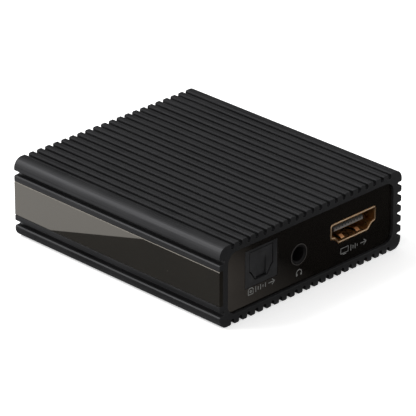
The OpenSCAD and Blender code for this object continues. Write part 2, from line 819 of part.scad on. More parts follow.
module mode_switch_base() {
    color("#7a5a36") at_rear(switch_x) {
        y = switch_y + switch_d - switch_base_t;
        block(0, y, 0,
            switch_w - 2 * (switch_wall + slide_gap), switch_base_t, switch_h - switch_wall - slide_gap);
        for (i = [0 : switch_pins - 1]) {
            block((i - (switch_pins - 1) / 2) * switch_pitch, y + switch_base_t / 2 - pin_w / 2,
                -board_t - tail_len, pin_w, pin_w, board_t + tail_len + pin_w);
        }
    }
}

module mode_switch_slider() {
    color("#202022") at_rear(switch_x) {
        y = switch_y + switch_wall + slide_gap;
        block(0, y, slide_gap, slider_w, slider_d, switch_h - switch_wall - 2 * slide_gap);
        block(0, knob_tip - panel_recess, switch_axis - knob_h / 2, knob_w,
            y + panel_recess - knob_tip + slide_gap, knob_h);
    }
}

// Status light: panel's face at y = 0, board at z = 0

led_flange_t = 0.6;
led_lead = 0.4;
led_spread = 0.65;
led_bend = 1.2;

module status_led() {
    color("#9fb8d8") at_rear(led_x) {
        flange_y = mouth_depth - panel_recess + board_gap;
        translate([0, 0, led_axis]) rotate([-90, 0, 0]) {
            translate([0, 0, led_r]) cylinder(r = led_r, h = flange_y - led_r + pin_w);
            translate([0, 0, led_r]) sphere(led_r);
            translate([0, 0, flange_y]) cylinder(r = led_flange_r, h = led_flange_t);
        }
        for (s = [-1, 1]) {
            block(s * led_spread, flange_y + led_flange_t, led_axis - led_lead / 2, led_lead, led_bend, led_lead);
            block(s * led_spread, flange_y + led_flange_t + led_bend - led_lead, -board_t - tail_len,
                led_lead, led_lead, board_t + tail_len + led_axis);
        }
    }
}

// Board

module board_holes() {
    for (side = [0, 1]) {
        if (side == 0) at_front(video_out_x) vid_leg_holes();
        else at_rear(video_in_x) vid_leg_holes();
    }
    at_front(optical_x) {
        for (s = [-1, 1]) hole(s * peg_x, peg_y, peg_r + pin_gap);
        for (i = [0 : emitter_pins - 1]) {
            hole((i - (emitter_pins - 1) / 2) * emitter_pitch, opt_len - emitter_d / 2 + pin_w / 2, pin_w);
        }
    }
    at_front(headphone_x) for (i = [0 : len(leaf_y) - 1]) {
        s = i % 2 == 0 ? 1 : -1;
        slot_hole(s * (jack_w / 2 + leaf_gap + leaf_t / 2), leaf_y[i], leaf_t, leaf_len);
    }
    at_rear(dc_x) {
        slot_hole(0, dc_nose_len + dc_len, dc_leaf_w, dc_leaf_t);
        slot_hole(0, dc_leaf_y + dc_leaf_len - dc_leaf_w, dc_leaf_w / 2, dc_leaf_w);
    }
    at_rear(switch_x) for (i = [0 : switch_pins - 1]) {
        hole((i - (switch_pins - 1) / 2) * switch_pitch, switch_y + switch_d - switch_base_t / 2, pin_w);
    }
    at_rear(led_x) for (s = [-1, 1]) {
        hole(s * led_spread,
            mouth_depth - panel_recess + board_gap + led_flange_t + led_bend - led_lead / 2, led_lead);
    }
}

module vid_leg_holes() {
    for (s = [-1, 1], y = leg_y) slot_hole(s * (vid_w / 2 - vid_wall / 2), y, vid_wall, leg_d);
}

module hole(x, y, r) {
    translate([x, y, -board_t - overrun]) cylinder(r = r, h = board_t + 2 * overrun);
}

module slot_hole(x, y, w, d) {
    block(x, y - pin_gap, -board_t - overrun, w + 2 * pin_gap, d + 2 * pin_gap, board_t + 2 * overrun);
}

module main_board() {
    color("#1f5b3a") difference() {
        translate([0, 0, board_z]) linear_extrude(board_t) rounded_rect(board_w, board_d, board_gap);
        board_holes();
    }
}

// Parts on the board

lead_shares = [0.3, 0.55];       // where a lead leaves the package's level and reaches the board's

// Gull-wing lead that leaves a package at y = 0 and lands on the board
module gull_wing(w, h) {
    near = lead_len * lead_shares[0];
    far = lead_len * lead_shares[1];
    along_x(0, w) polygon([
        [0, h], [near, h], [far, lead_t], [lead_len, lead_t],
        [lead_len, 0], [far - lead_t, 0], [near - lead_t, h - lead_t], [0, h - lead_t]
    ]);
}

// Flat package, w by d, with a row of leads on the sides that face the given angles
module package(w, d, h, sides, leads, pitch, lead_w) {
    translate([0, 0, package_lift]) {
        linear_extrude(h - 2 * package_lift) square([w, d], center = true);
        linear_extrude(h - package_lift) square([w - package_lift, d - package_lift], center = true);
    }
    for (a = sides, i = [0 : leads - 1]) {
        reach = a % 180 == 0 ? d / 2 : w / 2;
        rotate(a) translate([(i - (leads - 1) / 2) * pitch, reach, 0]) gull_wing(lead_w, h / 2);
    }
}

lead_len = 1.2;
lead_t = 0.15;
package_lift = 0.12;

processor_shares = [0.13, 0.05];
processor_w = 12;
processor_h = 1.4;
fine_pitch = 0.8;
fine_lead_w = 0.35;
processor_leads = 13;

module video_processor() {
    color("#26272a") on_board(processor_shares)
        package(processor_w, processor_w, processor_h, [0, 90, 180, 270], processor_leads,
            fine_pitch, fine_lead_w);
}

capacitor_base = 5.3;
capacitor_port_gap = 0.35;
capacitor_inner_x = port_inner_x - capacitor_port_gap - capacitor_base;

converter_depth_share = -0.1;
converter_gap = 0.85; // between the converter and the capacitors beside it
converter_w = 9;
converter_d = 4;
converter_h = 1.6;
coarse_pitch = 1.27;
coarse_lead_w = 0.45;
converter_leads = 7;

module audio_converter() {
    color("#26272a") on_board([0, converter_depth_share])
        translate([converter_w / 2 - capacitor_inner_x + converter_gap, 0, 0])
            package(converter_w, converter_d, converter_h, [0, 180], converter_leads, coarse_pitch, coarse_lead_w);
}

regulator_shares = [-0.34, 0.15];
regulator_w = 6.5;
regulator_d = 3.5;
regulator_leads = 3;
regulator_pitch = 2.3;
regulator_lead_w = 0.7;

module voltage_regulator() {
    color("#26272a") on_board(regulator_shares)
        package(regulator_w, regulator_d, converter_h, [0, 180],
            regulator_leads, regulator_pitch, regulator_lead_w);
}

crystal_shares = [-0.075, 0.065];
crystal_w = 3.2;
crystal_len = 8;
crystal_h = 3;
crystal_flange = 0.4;
crystal_flange_t = 0.4;

// Low metal can with round ends on a flange
module crystal() {
    color("#c9cbcd") on_board(crystal_shares) {
        linear_extrude(crystal_flange_t) stadium(crystal_len + crystal_flange, crystal_w + crystal_flange);
        linear_extrude(crystal_h) stadium(crystal_len, crystal_w);
    }
}

module stadium(len, w) {
    square([w, len - w], center = true);
    for (s = [-1, 1]) translate([0, s * (len - w) / 2]) circle(w / 2);
}

capacitor_sides = [[-1, 0.017], [-1, -0.115], [1, 0.065]]; // side, and share of the board's length
capacitor_r = 2.5;
capacitor_h = 5.4;
capacitor_base_t = 0.8;
capacitor_neck_r = 2.3;
capacitor_neck_h = 0.5;

// Small upright cans with a rolled neck, on square feet beside the screw ports
module electrolytic_capacitors() {
    color("#b9bcc0") for (p = capacitor_sides)
        translate([p[0] * (capacitor_inner_x + capacitor_base / 2), 0, 0]) on_board([0, p[1]]) {
        linear_extrude(capacitor_base_t) rounded_rect(capacitor_base, capacitor_base, capacitor_neck_h);
        cylinder(r = capacitor_neck_r, h = capacitor_base_t + capacitor_neck_h);
        translate([0, 0, capacitor_base_t + capacitor_neck_h])
            cylinder(r = capacitor_r, h = capacitor_h - capacitor_base_t - capacitor_neck_h);
    }
}

inductor_shares = [-0.17, 0.2];
inductor_w = 5;
inductor_h = 2.8;
inductor_r = 1;
inductor_pad_t = 0.4;

module power_inductor() {
    color("#4a4a4c") on_board(inductor_shares) {
        linear_extrude(inductor_h) rounded_rect(inductor_w, inductor_w, inductor_r);
        for (s = [-1, 1]) {
            block(s * inductor_w / 2, -inductor_w / 4, 0, inductor_pad_t, inductor_w / 2, inductor_h / 2);
        }
    }
}

chip_len = 1.6;
chip_w = 0.8;
chip_cap_h = 0.8;
chip_res_h = 0.45;
chip_end = 0.3;
chip_pitch = 2;
cap_row_shares = [[-0.02, -0.1], [0.19, -0.1], [0.075, 0.25]];
res_row_shares = [[-0.02, -0.15], [-0.38, 0.265], [0.26, -0.15]];
chips_in_row = 5;

// A row of chip parts, each with two end caps that stand a little proud
module chip_row(shares, h) {
    for (i = [0 : chips_in_row - 1]) {
        on_board(shares) translate([i * chip_pitch, 0, 0]) {
            block(0, -chip_len / 2 + chip_end / 2, package_lift / 2, chip_w - package_lift,
                chip_len - chip_end, h - package_lift);
            for (s = [-1, 1])
                block(0, s * (chip_len / 2 - chip_end / 2) - chip_end / 2, 0, chip_w, chip_end, h);
        }
    }
}

module chip_capacitors() {
    color("#a98a62") for (p = cap_row_shares) chip_row(p, chip_cap_h);
}

module chip_resistors() {
    color("#2a2c30") for (p = res_row_shares) chip_row(p, chip_res_h);
}

housing_sleeve();
side_inlay();
front_end_plate();
front_panel();
front_plate_screws();
rear_end_plate();
rear_panel();
rear_plate_screws();
main_board();
video_out_shell();
video_out_insulator();
video_out_contacts();
video_in_shell();
video_in_insulator();
video_in_contacts();
optical_housing();
optical_shutter();
shutter_pin();
shutter_spring();
optical_emitter();
headphone_jack_body();
headphone_jack_contacts();
dc_jack_body();
dc_jack_pin();
dc_jack_contact();
mode_switch_frame();
mode_switch_base();
mode_switch_slider();
status_led();
video_processor();
audio_converter();
voltage_regulator();
crystal();
electrolytic_capacitors();
power_inductor();
chip_capacitors();
chip_resistors();
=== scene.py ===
# %% [markdown]
# # A ribbed audio extractor, dressed for its picture
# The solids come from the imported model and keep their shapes. This lesson gives each a finish made of
# nodes, adds the thin things that solids leave out, such as ink, solder and rolled lips, and sets up a
# small studio with the camera where the photographer stood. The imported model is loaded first, because
# every place and size below is measured on it.

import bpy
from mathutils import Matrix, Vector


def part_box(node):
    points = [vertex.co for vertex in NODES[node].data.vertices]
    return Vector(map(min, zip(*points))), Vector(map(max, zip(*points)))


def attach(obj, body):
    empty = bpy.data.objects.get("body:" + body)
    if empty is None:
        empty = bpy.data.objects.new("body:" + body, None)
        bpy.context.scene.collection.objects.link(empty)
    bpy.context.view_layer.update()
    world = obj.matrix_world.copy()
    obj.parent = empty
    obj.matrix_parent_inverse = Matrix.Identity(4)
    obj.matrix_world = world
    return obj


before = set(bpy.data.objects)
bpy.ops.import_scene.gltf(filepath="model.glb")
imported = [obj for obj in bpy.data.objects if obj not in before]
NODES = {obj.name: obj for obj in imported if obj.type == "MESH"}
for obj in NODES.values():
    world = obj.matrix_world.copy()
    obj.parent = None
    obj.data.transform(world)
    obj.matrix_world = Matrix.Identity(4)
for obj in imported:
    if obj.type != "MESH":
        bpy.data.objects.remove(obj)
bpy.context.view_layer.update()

import math
from collections import defaultdict

import bmesh
import bpy
from mathutils import Vector

MM = 0.001


def middle_x(node):
    low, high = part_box(node)
    return (low.x + high.x) / 2


# %% [markdown]
# ## The camera
# The photograph was taken from above the left front corner with a long lens, so its lines hardly
# converge. A camera could be aimed by eye, but an angle, a distance and a focal length solved from the
# corners of the box keep the picture's layout. The real lens was also shifted far down, which can't be
# kept in other views, so upright edges look about a tenth shorter here.

# %% Camera
PICTURE_SIDE = 416
AZIMUTH = math.radians(-44.996)
ELEVATION = math.radians(25.541)
FOCAL_PIXELS = 3510.3
DISTANCE = 819.3 * MM
MID_HEIGHT = 11.2 * MM
AIM_RIGHT = 0.149 * MM
AIM_UP = -2.202 * MM


def new_object(name, data):
    made = bpy.data.objects.new(name, data)
    bpy.context.scene.collection.objects.link(made)
    return made


def place_camera():
    back = Vector((math.sin(AZIMUTH) * math.cos(ELEVATION),
                   -math.cos(AZIMUTH) * math.cos(ELEVATION), math.sin(ELEVATION)))
    right = Vector((math.cos(AZIMUTH), math.sin(AZIMUTH), 0))
    up = back.cross(right)
    data = bpy.data.cameras.new("photo_camera")
    data.sensor_width = 36
    data.lens = data.sensor_width * FOCAL_PIXELS / PICTURE_SIDE
    data.clip_start, data.clip_end = 0.05, 20
    camera = new_object("photo_camera", data)
    target = Vector((0, 0, MID_HEIGHT)) + right * AIM_RIGHT + up * AIM_UP
    camera.location = target + back * DISTANCE
    camera.rotation_mode = "QUATERNION"
    camera.rotation_quaternion = back.to_track_quat("Z", "Y")
    bpy.context.scene.camera = camera
    return camera


camera = place_camera()
print("camera lens", round(camera.data.lens, 1), "mm at", [round(v, 3) for v in camera.location])

# %% [markdown]
# ## Helpers for finishes
# Every finish is a Principled shader with a few nodes in front of it. Nodes could be added line by
# line, but a helper that takes a node's type, settings and inputs keeps the script short.

# %% Node helpers
def add(tree, kind, inputs=None, **settings):
    node = tree.nodes.new(kind)
    for name, value in settings.items():
        setattr(node, name, value)
    for key, value in (inputs or {}).items():
        if isinstance(value, bpy.types.NodeSocket):
            tree.links.new(value, node.inputs[key])
        else:
            node.inputs[key].default_value = value
    return node


def tone(code):
    """Turns a colour written as on a paint card, #rrggbb, into the linear values that shaders use."""
    parts = [int(code[i:i + 2], 16) / 255 for i in (1, 3, 5)]
    return tuple(c / 12.92 if c <= 0.04045 else ((c + 0.055) / 1.055) ** 2.4 for c in parts) + (1.0,)


def start_finish(name, colour, roughness, metallic=0.0, specular=0.5, ior=1.5):
    material = bpy.data.materials.new(name)
    material.use_nodes = True
    material.diffuse_color = tone(colour)
    tree = material.node_tree
    tree.nodes.clear()
    output = add(tree, "ShaderNodeOutputMaterial")
    shader = add(tree, "ShaderNodeBsdfPrincipled", {
        "Base Color": tone(colour), "Roughness": roughness, "Metallic": metallic,
        "Specular IOR Level": specular, "IOR": ior})
    tree.links.new(shader.outputs[0], output.inputs["Surface"])
    return material, tree, shader


def connect(tree, shader, **sockets):
    for name, value in sockets.items():
        tree.links.new(value, shader.inputs[name.replace("_", " ")])


def calc(tree, operation, first, second=0.0):
    return add(tree, "ShaderNodeMath", {0: first, 1: second}, operation=operation).outputs[0]


def times(tree, first, second):
    return calc(tree, "MULTIPLY", first, second)


def blend(tree, share, first, second):
    return add(tree, "ShaderNodeMix", {0: share, 6: first, 7: second}, data_type="RGBA").outputs[2]


def span(tree, value, low, high, start=0.0, end=1.0):
    return add(tree, "ShaderNodeMapRange", {
        "Value": value, "From Min": start, "From Max": end,
        "To Min": low, "To Max": high}).outputs["Result"]


print("node helpers ready")

# %% [markdown]
# ## Helpers for patterns
# A pattern needs to know where a point of the surface lies and which way it faces. Patterns read
# Object coordinates: all objects sit at the origin, so these are metres in the part's own frame, and a
# scale of 1000 gives features of about a millimetre. Most finishes drift between two tones, as dye does.

# %% Pattern helpers
def place(tree, scale=(1, 1, 1)):
    coords = add(tree, "ShaderNodeTexCoord").outputs["Object"]
    return add(tree, "ShaderNodeMapping", {"Vector": coords, "Scale": scale}).outputs[0]


def axes(tree, vector):
    return add(tree, "ShaderNodeSeparateXYZ", {0: vector}).outputs


def facing(tree):
    return axes(tree, add(tree, "ShaderNodeNewGeometry").outputs["Normal"])


def faces_along(tree, axis):
    """One where the surface faces along an axis, either way."""
    return calc(tree, "GREATER_THAN", calc(tree, "ABSOLUTE", facing(tree)[axis]), 0.9)


def noise(tree, per_metre, detail=2.0, roughness=0.5):
    scale = per_metre if isinstance(per_metre, tuple) else (per_metre,) * 3
    return add(tree, "ShaderNodeTexNoise", {
        "Vector": place(tree, scale), "Scale": 1.0,
        "Detail": detail, "Roughness": roughness}).outputs["Fac"]


def drift(tree, per_metre, detail, first, second):
    """Wanders between two tones."""
    return blend(tree, span(tree, noise(tree, per_metre, detail), 0, 1, 0.3, 0.7), first, second)


print("pattern helpers ready")

# %% [markdown]
# ## Edges that catch the light, and wear
# Each real edge has a small round that catches a thin line of light, and coating wears there first.
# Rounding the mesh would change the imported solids, so the Bevel node bends only the shading normal near
# an edge. Where the bent normal leaves the true one, an edge is close, which gives a mask for wear.

# %% Edge helpers
def round_edges(tree, radius_mm):
    return add(tree, "ShaderNodeBevel", {"Radius": radius_mm * MM}, samples=4).outputs[0]


def edge_mask(tree, rounded):
    flat = add(tree, "ShaderNodeNewGeometry").outputs["Normal"]
    match = add(tree, "ShaderNodeVectorMath", {0: rounded, 1: flat}, operation="DOT_PRODUCT")
    return span(tree, match.outputs["Value"], 1.0, 0.0, 0.82, 1.0)


def bump(tree, height, depth_mm, strength=1.0, normal=None):
    inputs = {"Height": height, "Distance": depth_mm * MM, "Strength": strength}
    if normal is not None:
        inputs["Normal"] = normal
    return add(tree, "ShaderNodeBump", inputs).outputs[0]


print("edge helpers ready")

# %% [markdown]
# ## Shade in the slots
# Little light gets back out of the narrow slots between the ribs, least of all at their bottom and open
# ends. Traced light alone leaves them greyer than in the photograph, so a mask darkens them. It comes
# from how deep a point lies under the top, the underside or the right side of the sleeve's box, and
# leaves out the plain land along the left side.

# %% Slot shade
SLEEVE_LOW, SLEEVE_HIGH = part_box("housing_sleeve")
SIDE_LAND = 2.6 * MM
SHADE_START = 0.55 * MM
SHADE_FULL = 1.3 * MM
SLOTS_END = 1.45 * MM
END_REACH = 1.6 * MM
END_START = 0.3 * MM


def off_left_side(tree):
    """One everywhere but on the plain land along the left side."""
    return calc(tree, "GREATER_THAN", axes(tree, place(tree))["X"], SLEEVE_LOW.x + SIDE_LAND)


def slot_shade(tree):
    """One at the bottom and at the open ends of the slots, none elsewhere."""
    at = axes(tree, place(tree))
    under_top = calc(tree, "SUBTRACT", SLEEVE_HIGH.z, at["Z"])
    over_foot = calc(tree, "SUBTRACT", at["Z"], SLEEVE_LOW.z)
    in_right = calc(tree, "SUBTRACT", SLEEVE_HIGH.x, at["X"])
    depth = calc(tree, "MINIMUM", calc(tree, "MINIMUM", under_top, over_foot), in_right)
    bottom = span(tree, depth, 0.0, 1.0, SHADE_START, SHADE_FULL)
    from_end = calc(tree, "SUBTRACT", SLEEVE_HIGH.y, calc(tree, "ABSOLUTE", at["Y"]))
    open_end = times(tree, span(tree, from_end, 1.0, 0.0, 0.0, END_REACH),
                     calc(tree, "GREATER_THAN", depth, END_START))
    in_slot = calc(tree, "LESS_THAN", depth, SLOTS_END)
    shade = calc(tree, "MAXIMUM", bottom, open_end)
    return times(tree, shade, times(tree, in_slot, off_left_side(tree)))


print("slot shade between", round(SHADE_START / MM, 2), "and", round(SLOTS_END / MM, 2), "mm deep")

# %% [markdown]
# ## Black anodised sleeve
# The sleeve is extruded aluminium, blasted and anodised matt black. Three marks show: the fine grain of
# the blasting, faint streaks along the extrusion, and a slow cloudiness of the dye, which is thinner
# and greyer on sharp edges. The cut ends carry fine cutter lines and are grey, with painted shade that
# darkens them towards the left. A plain matt plastic would shine most at a slant, so this finish is
# mostly metallic with a grey specular tint, which keeps slanting faces dark. The bevels of the ribs get
# painted shade, which tones down the highlight that the sun puts on them.

# %% Anodised finish
def sleeve_dye(tree, clouds, rounded):
    streaks = noise(tree, (2600, 26, 2600), 3)
    body = blend(tree, span(tree, streaks, 0, 1, 0.35, 0.65), tone("#2e2e2f"), tone("#373738"))
    body = blend(tree, span(tree, clouds, 0, 0.55, 0.35, 0.7), body, tone("#3c3c3d"))
    patches = span(tree, noise(tree, 700, 3), 0.1, 0.75, 0.35, 0.7)
    return blend(tree, times(tree, edge_mask(tree, rounded), patches), body, tone("#464647"))


def sleeve_shades(tree, body, is_end):
    # Painted shade: the cut ends grow darker towards the left.
    shade_to_left = span(tree, axes(tree, place(tree))["X"], 0.6, 0.0, SLEEVE_LOW.x, SLEEVE_HIGH.x)
    body = blend(tree, times(tree, is_end, 0.6), body, tone("#4a4a4b"))
    body = blend(tree, times(tree, is_end, shade_to_left), body, tone("#0c0c0d"))
    # Painted shade on the rib bevels tones down the sun's highlight there.
    faces = facing(tree)
    slant = calc(tree, "ABSOLUTE", times(tree, faces["X"], faces["Z"]))
    bevel_shade = times(tree, calc(tree, "GREATER_THAN", slant, 0.4), off_left_side(tree))
    body = blend(tree, times(tree, bevel_shade, 0.8), body, tone("#1b1b1c"))
    deep = times(tree, calc(tree, "SUBTRACT", slot_shade(tree), is_end), 0.85)
    return blend(tree, calc(tree, "MAXIMUM", deep, 0.0), body, tone("#0a0a0b"))


def anodised_finish():
    material, tree, shader = start_finish("anodised_black", "#323233", 0.52, metallic=0.75, specular=0.05)
    shader.inputs["Specular Tint"].default_value = (0.26, 0.26, 0.26, 1.0)
    clouds = noise(tree, 90, 3)
    rounded = round_edges(tree, 0.2)
    is_end = faces_along(tree, "Y")
    body = sleeve_shades(tree, sleeve_dye(tree, clouds, rounded), is_end)
    cutter = add(tree, "ShaderNodeTexWave", {
        "Vector": place(tree), "Scale": 1400.0, "Distortion": 1.5, "Detail": 2.0},
        bands_direction="DIAGONAL").outputs["Color"]
    height = blend(tree, is_end, noise(tree, 15000, 2, 0.7), cutter)
    connect(tree, shader, Base_Color=body, Roughness=span(tree, clouds, 0.49, 0.56, 0.3, 0.7),
            Normal=bump(tree, height, 0.006, 0.5, rounded))
    return material


ANODISED = anodised_finish()
print("made", ANODISED.name)

# %% [markdown]
# ## Glossy strip and panels
# The strip in the left side and the two panels are smooth dark plastic sheet with a hard gloss. Gloss
# shows what stands around it, so the surface stays quiet: a slow waviness that bends reflections a
# little, hairline scratches and a few specks of dust. A higher IOR makes the strip mirror more strongly
# than the panels, as foil-backed sheet does. Its bevels are matt, so they show one thin pale line, and
# its cut ends are dark. The rear panel is duller, because a full gloss would show little but the floor.

# %% Gloss finishes
def gloss_finish(name, colour, other, ior, specular, roughness, tint, matt_edge=0.0):
    material, tree, shader = start_finish(name, colour, roughness, specular=specular, ior=ior)
    shader.inputs["Specular Tint"].default_value = tint
    wave = noise(tree, 140, 1)
    scratch = span(tree, noise(tree, (260, 260, 9000), 4, 0.65), 0, 1, 0.66, 0.72)
    dust = add(tree, "ShaderNodeTexVoronoi", {"Vector": place(tree), "Scale": 420.0})
    speck = span(tree, dust.outputs["Distance"], 1, 0, 0.03, 0.06)
    dusty = times(tree, speck, calc(tree, "GREATER_THAN", noise(tree, 160, 0), 0.62))
    body = drift(tree, 60, 2, tone(colour), tone(other))
    body = blend(tree, times(tree, dusty, 0.35), body, tone("#6a6662"))
    rough = calc(tree, "ADD", span(tree, scratch, roughness, roughness + 0.08), times(tree, dusty, 0.4))
    if matt_edge:
        is_edge = calc(tree, "SUBTRACT", 1.0, faces_along(tree, "X"))
        rough = calc(tree, "MAXIMUM", rough, times(tree, is_edge, matt_edge))
        connect(tree, shader, Metallic=faces_along(tree, "Y"))
    connect(tree, shader, Base_Color=body, Roughness=rough,
            Normal=bump(tree, wave, 0.012, 0.25, round_edges(tree, 0.03)))
    return material


INLAY = gloss_finish("inlay_gloss", "#1a1917", "#1f1d1a", 1.73, 0.5, 0.03,
                     tint=(1.0, 0.925, 0.81, 1.0), matt_edge=0.48)
PANEL = gloss_finish("panel_gloss", "#0d0c0b", "#110f0d", 1.5, 0.58, 0.06, tint=(1.0, 0.83, 0.68, 1.0))
REAR_PANEL = gloss_finish("rear_panel_gloss", "#0e0d0c", "#12100f", 1.5, 0.12, 0.09,
                          tint=(1.0, 0.9, 0.8, 1.0))
print("made", INLAY.name, PANEL.name, "and", REAR_PANEL.name)

# %% [markdown]
# ## Moulded plastics
# Moulded plastic has a fine grain, uneven gloss where it flowed, and in filled grades small pale flecks
# of glass. One helper makes the receptacle, sockets, knob, chips and insulators from a colour, a gloss
# and a grain size, because they differ only in these. Of the headphone socket's nose only the rim
# catches light, so a mask measured from its axis paints shade over what lies inside the rim.

# %% Moulded plastic finishes
RIM_HEIGHT = 9.47 * MM
RIM_RADIUS = 2.44 * MM
RIM_BLUR = 0.1 * MM


def within_rim(tree):
    axis = (middle_x("headphone_jack_body"), 0, RIM_HEIGHT)
    away = add(tree, "ShaderNodeVectorMath", {0: place(tree, (1, 0, 1)), 1: axis}, operation="DISTANCE")
    return span(tree, away.outputs["Value"], 1.0, 0.0, RIM_RADIUS - RIM_BLUR, RIM_RADIUS + RIM_BLUR)


def lighter(colour, gain, lift):
    return tuple(min(1.0, c * gain + lift) for c in tone(colour)[:3]) + (1.0,)


def moulded_finish(name, colour, roughness, grain_per_metre=9000, grain_mm=0.006, fleck=None,
                   specular=0.45, painted_shade=None):
    material, tree, shader = start_finish(name, colour, roughness, specular=specular)
    body = drift(tree, 350, 3, tone(colour), lighter(colour, 1.35, 0.004))
    if fleck:
        spots = add(tree, "ShaderNodeTexVoronoi", {"Vector": place(tree, (5000, 5000, 2500)), "Scale": 1.0})
        body = blend(tree, span(tree, spots.outputs["Distance"], 0.4, 0, 0.05, 0.16), body, tone(fleck))
    rounded = round_edges(tree, 0.08)
    body = blend(tree, times(tree, edge_mask(tree, rounded), 0.45), body, lighter(colour, 2.2, 0.01))
    # Painted shade over the region that the given mask picks.
    if painted_shade:
        body = blend(tree, painted_shade(tree), body, tone("#0f0e0e"))
    gloss = span(tree, noise(tree, 600, 2), roughness - 0.07, roughness + 0.07)
    grain = noise(tree, grain_per_metre, 3, 0.6)
    connect(tree, shader, Base_Color=body, Roughness=gloss,
            Normal=bump(tree, grain, grain_mm, 0.5, rounded))
    return material


RECEPTACLE = moulded_finish("receptacle_plastic", "#1c1c1d", 0.42, specular=0.2)
SHUTTER = moulded_finish("shutter_plastic", "#1e1e1f", 0.38, specular=0.2)
NOSE = moulded_finish("nose_plastic", "#625f5c", 0.5, 7000, 0.006, fleck="#8a8783")
INSULATOR = moulded_finish("insulator_black", "#242322", 0.5, 7000, 0.008, fleck="#504d4a")
JACK = moulded_finish("jack_plastic", "#3a3836", 0.45, specular=0.08, painted_shade=within_rim)
POWER = moulded_finish("power_plastic", "#1d1d1e", 0.4)
KNOB = moulded_finish("knob_plastic", "#1b1b1c", 0.5, 6000, 0.012)
CHIP = moulded_finish("chip_resin", "#1e1f20", 0.55, 11000, 0.01, fleck="#4c4d50")
EMITTER = moulded_finish("emitter_resin", "#3a1512", 0.2)
RESISTOR = moulded_finish("chip_black", "#17181a", 0.35)
CAPACITOR = moulded_finish("chip_ceramic", "#8a7355", 0.5, 12000, 0.006)
FERRITE = moulded_finish("ferrite", "#3b3b3d", 0.7, 5000, 0.03, fleck="#6f6f72")
LAMINATE = moulded_finish("switch_laminate", "#6b4a2c", 0.5, 4000, 0.01)
print("made", RECEPTACLE.name, "and the other moulded plastics")

# %% [markdown]
# ## Plated and plain metals
# Sheet and pins are plated: gold on the video sockets and contacts, tin on the other contacts, zinc on
# plates and screws. Rolled sheet keeps faint lines, and plating pools into brighter and duller areas,
# so one helper makes them all. Much of a metal's look is the bright studio that it mirrors.
# In the video sockets the rims and the slopes that face out and up, as on the sprung fingers, are
# painted a lighter gold: painted highlights for the glints that they catch.

# %% Metal finishes
def plated_finish(name, colour, tarnish, roughness, lines=(300, 9000, 9000), depth_mm=0.004,
                  metallic=1.0, painted_glints=None):
    material, tree, shader = start_finish(name, colour, roughness, metallic=metallic)
    pools = noise(tree, 420, 3)
    rolled = noise(tree, lines, 3, 0.6)
    body = blend(tree, span(tree, pools, 0, 1, 0.38, 0.72), tone(colour), tone(tarnish))
    rounded = round_edges(tree, 0.07)
    # Painted highlights: lighter gold on rims and on slopes that face out and up.
    if painted_glints:
        rim_highlight, slope_glint = painted_glints
        body = blend(tree, times(tree, edge_mask(tree, rounded), 0.7), body, tone(rim_highlight))
        faces = facing(tree)
        glint_slope = calc(tree, "LESS_THAN", times(tree, faces["Y"], faces["Z"]), -0.3)
        body = blend(tree, glint_slope, body, tone(slope_glint))
    rough = calc(tree, "ADD", span(tree, rolled, roughness - 0.08, roughness + 0.08),
                 span(tree, pools, 0.0, 0.08, 0.4, 0.7))
    connect(tree, shader, Base_Color=body, Roughness=rough,
            Normal=bump(tree, rolled, depth_mm, 0.4, rounded))
    return material


SHELL_GOLD = plated_finish("shell_gold", "#d09860", "#b98449", 0.27, metallic=0.95,
                           painted_glints=("#ffd9a8", "#ffc48a"))
LIP_GOLD = plated_finish("lip_gold", "#dcc3a4", "#cdb090", 0.34)
CONTACT_GOLD = plated_finish("contact_gold", "#dcbc7c", "#c39c5a", 0.25)
CONTACT_TIN = plated_finish("contact_tin", "#c6c8ca", "#a4a6a8", 0.32)
PLATE = plated_finish("plate_steel", "#9c9ea2", "#84868a", 0.38, (9000, 9000, 260))
SCREW = plated_finish("screw_steel", "#a8aaae", "#8c8e92", 0.3, (9000, 400, 9000))
PIN = plated_finish("pin_steel", "#c2c4c6", "#a0a2a4", 0.22)
SWITCH_STEEL = plated_finish("switch_steel", "#b9bbbe", "#96989b", 0.34)
CAN_STEEL = plated_finish("can_steel", "#c4c6c8", "#a2a4a7", 0.24, (6000, 400, 6000))
CAN_ALUMINIUM = plated_finish("can_aluminium", "#c0c2c4", "#a6a8ab", 0.3, (4000, 4000, 300))
print("made", SHELL_GOLD.name, "and the other metals")

# %% [markdown]
# ## Circuit board
# The board is glass and resin under a green solder mask. Copper tracks show through it as slightly
# raised, lighter lines along X and Y. Each could be drawn, but a brick pattern stretched two ways gives
# such a field at once, and a small bump makes it stand up.

# %% Board finish
def board_finish():
    material, tree, shader = start_finish("board_laminate", "#12472c", 0.32)
    lanes = [add(tree, "ShaderNodeTexBrick", {
        "Vector": place(tree, scale), "Scale": 1.0, "Mortar Size": 0.14, "Mortar Smooth": 0.3,
        "Brick Width": 1.0, "Row Height": 1.0}).outputs["Fac"] for scale in ((520, 90, 1), (90, 520, 1))]
    region = calc(tree, "GREATER_THAN", noise(tree, 110, 0), 0.5)
    tracks = blend(tree, region, *lanes)
    body = blend(tree, tracks, drift(tree, 200, 2, tone("#114428"), tone("#164f32")), tone("#2a7a4c"))
    is_edge = calc(tree, "LESS_THAN", calc(tree, "ABSOLUTE", facing(tree)["Z"]), 0.5)
    body = blend(tree, is_edge, body, tone("#a08a4e"))
    connect(tree, shader, Base_Color=body, Roughness=span(tree, noise(tree, 900, 2), 0.24, 0.4),
            Normal=bump(tree, tracks, 0.03, 0.5))
    return material


BOARD = board_finish()
print("made", BOARD.name)

# %% [markdown]
# ## Status light and ink
# The light's lens is tinted resin that light enters, so a transmission share makes it look deep. Ink
# dries slightly rough, with tiny pinholes where the panel shows through.

# %% Lens and ink finishes
def lens_finish():
    material, tree, shader = start_finish("light_resin", "#7fae8c", 0.18)
    shader.inputs["Transmission Weight"].default_value = 0.45
    connect(tree, shader, Base_Color=drift(tree, 900, 2, tone("#78a886"), tone("#93bf9f")),
            Roughness=span(tree, noise(tree, 2500, 2), 0.12, 0.26),
            Normal=bump(tree, noise(tree, 3000, 2), 0.004, 0.3))
    return material


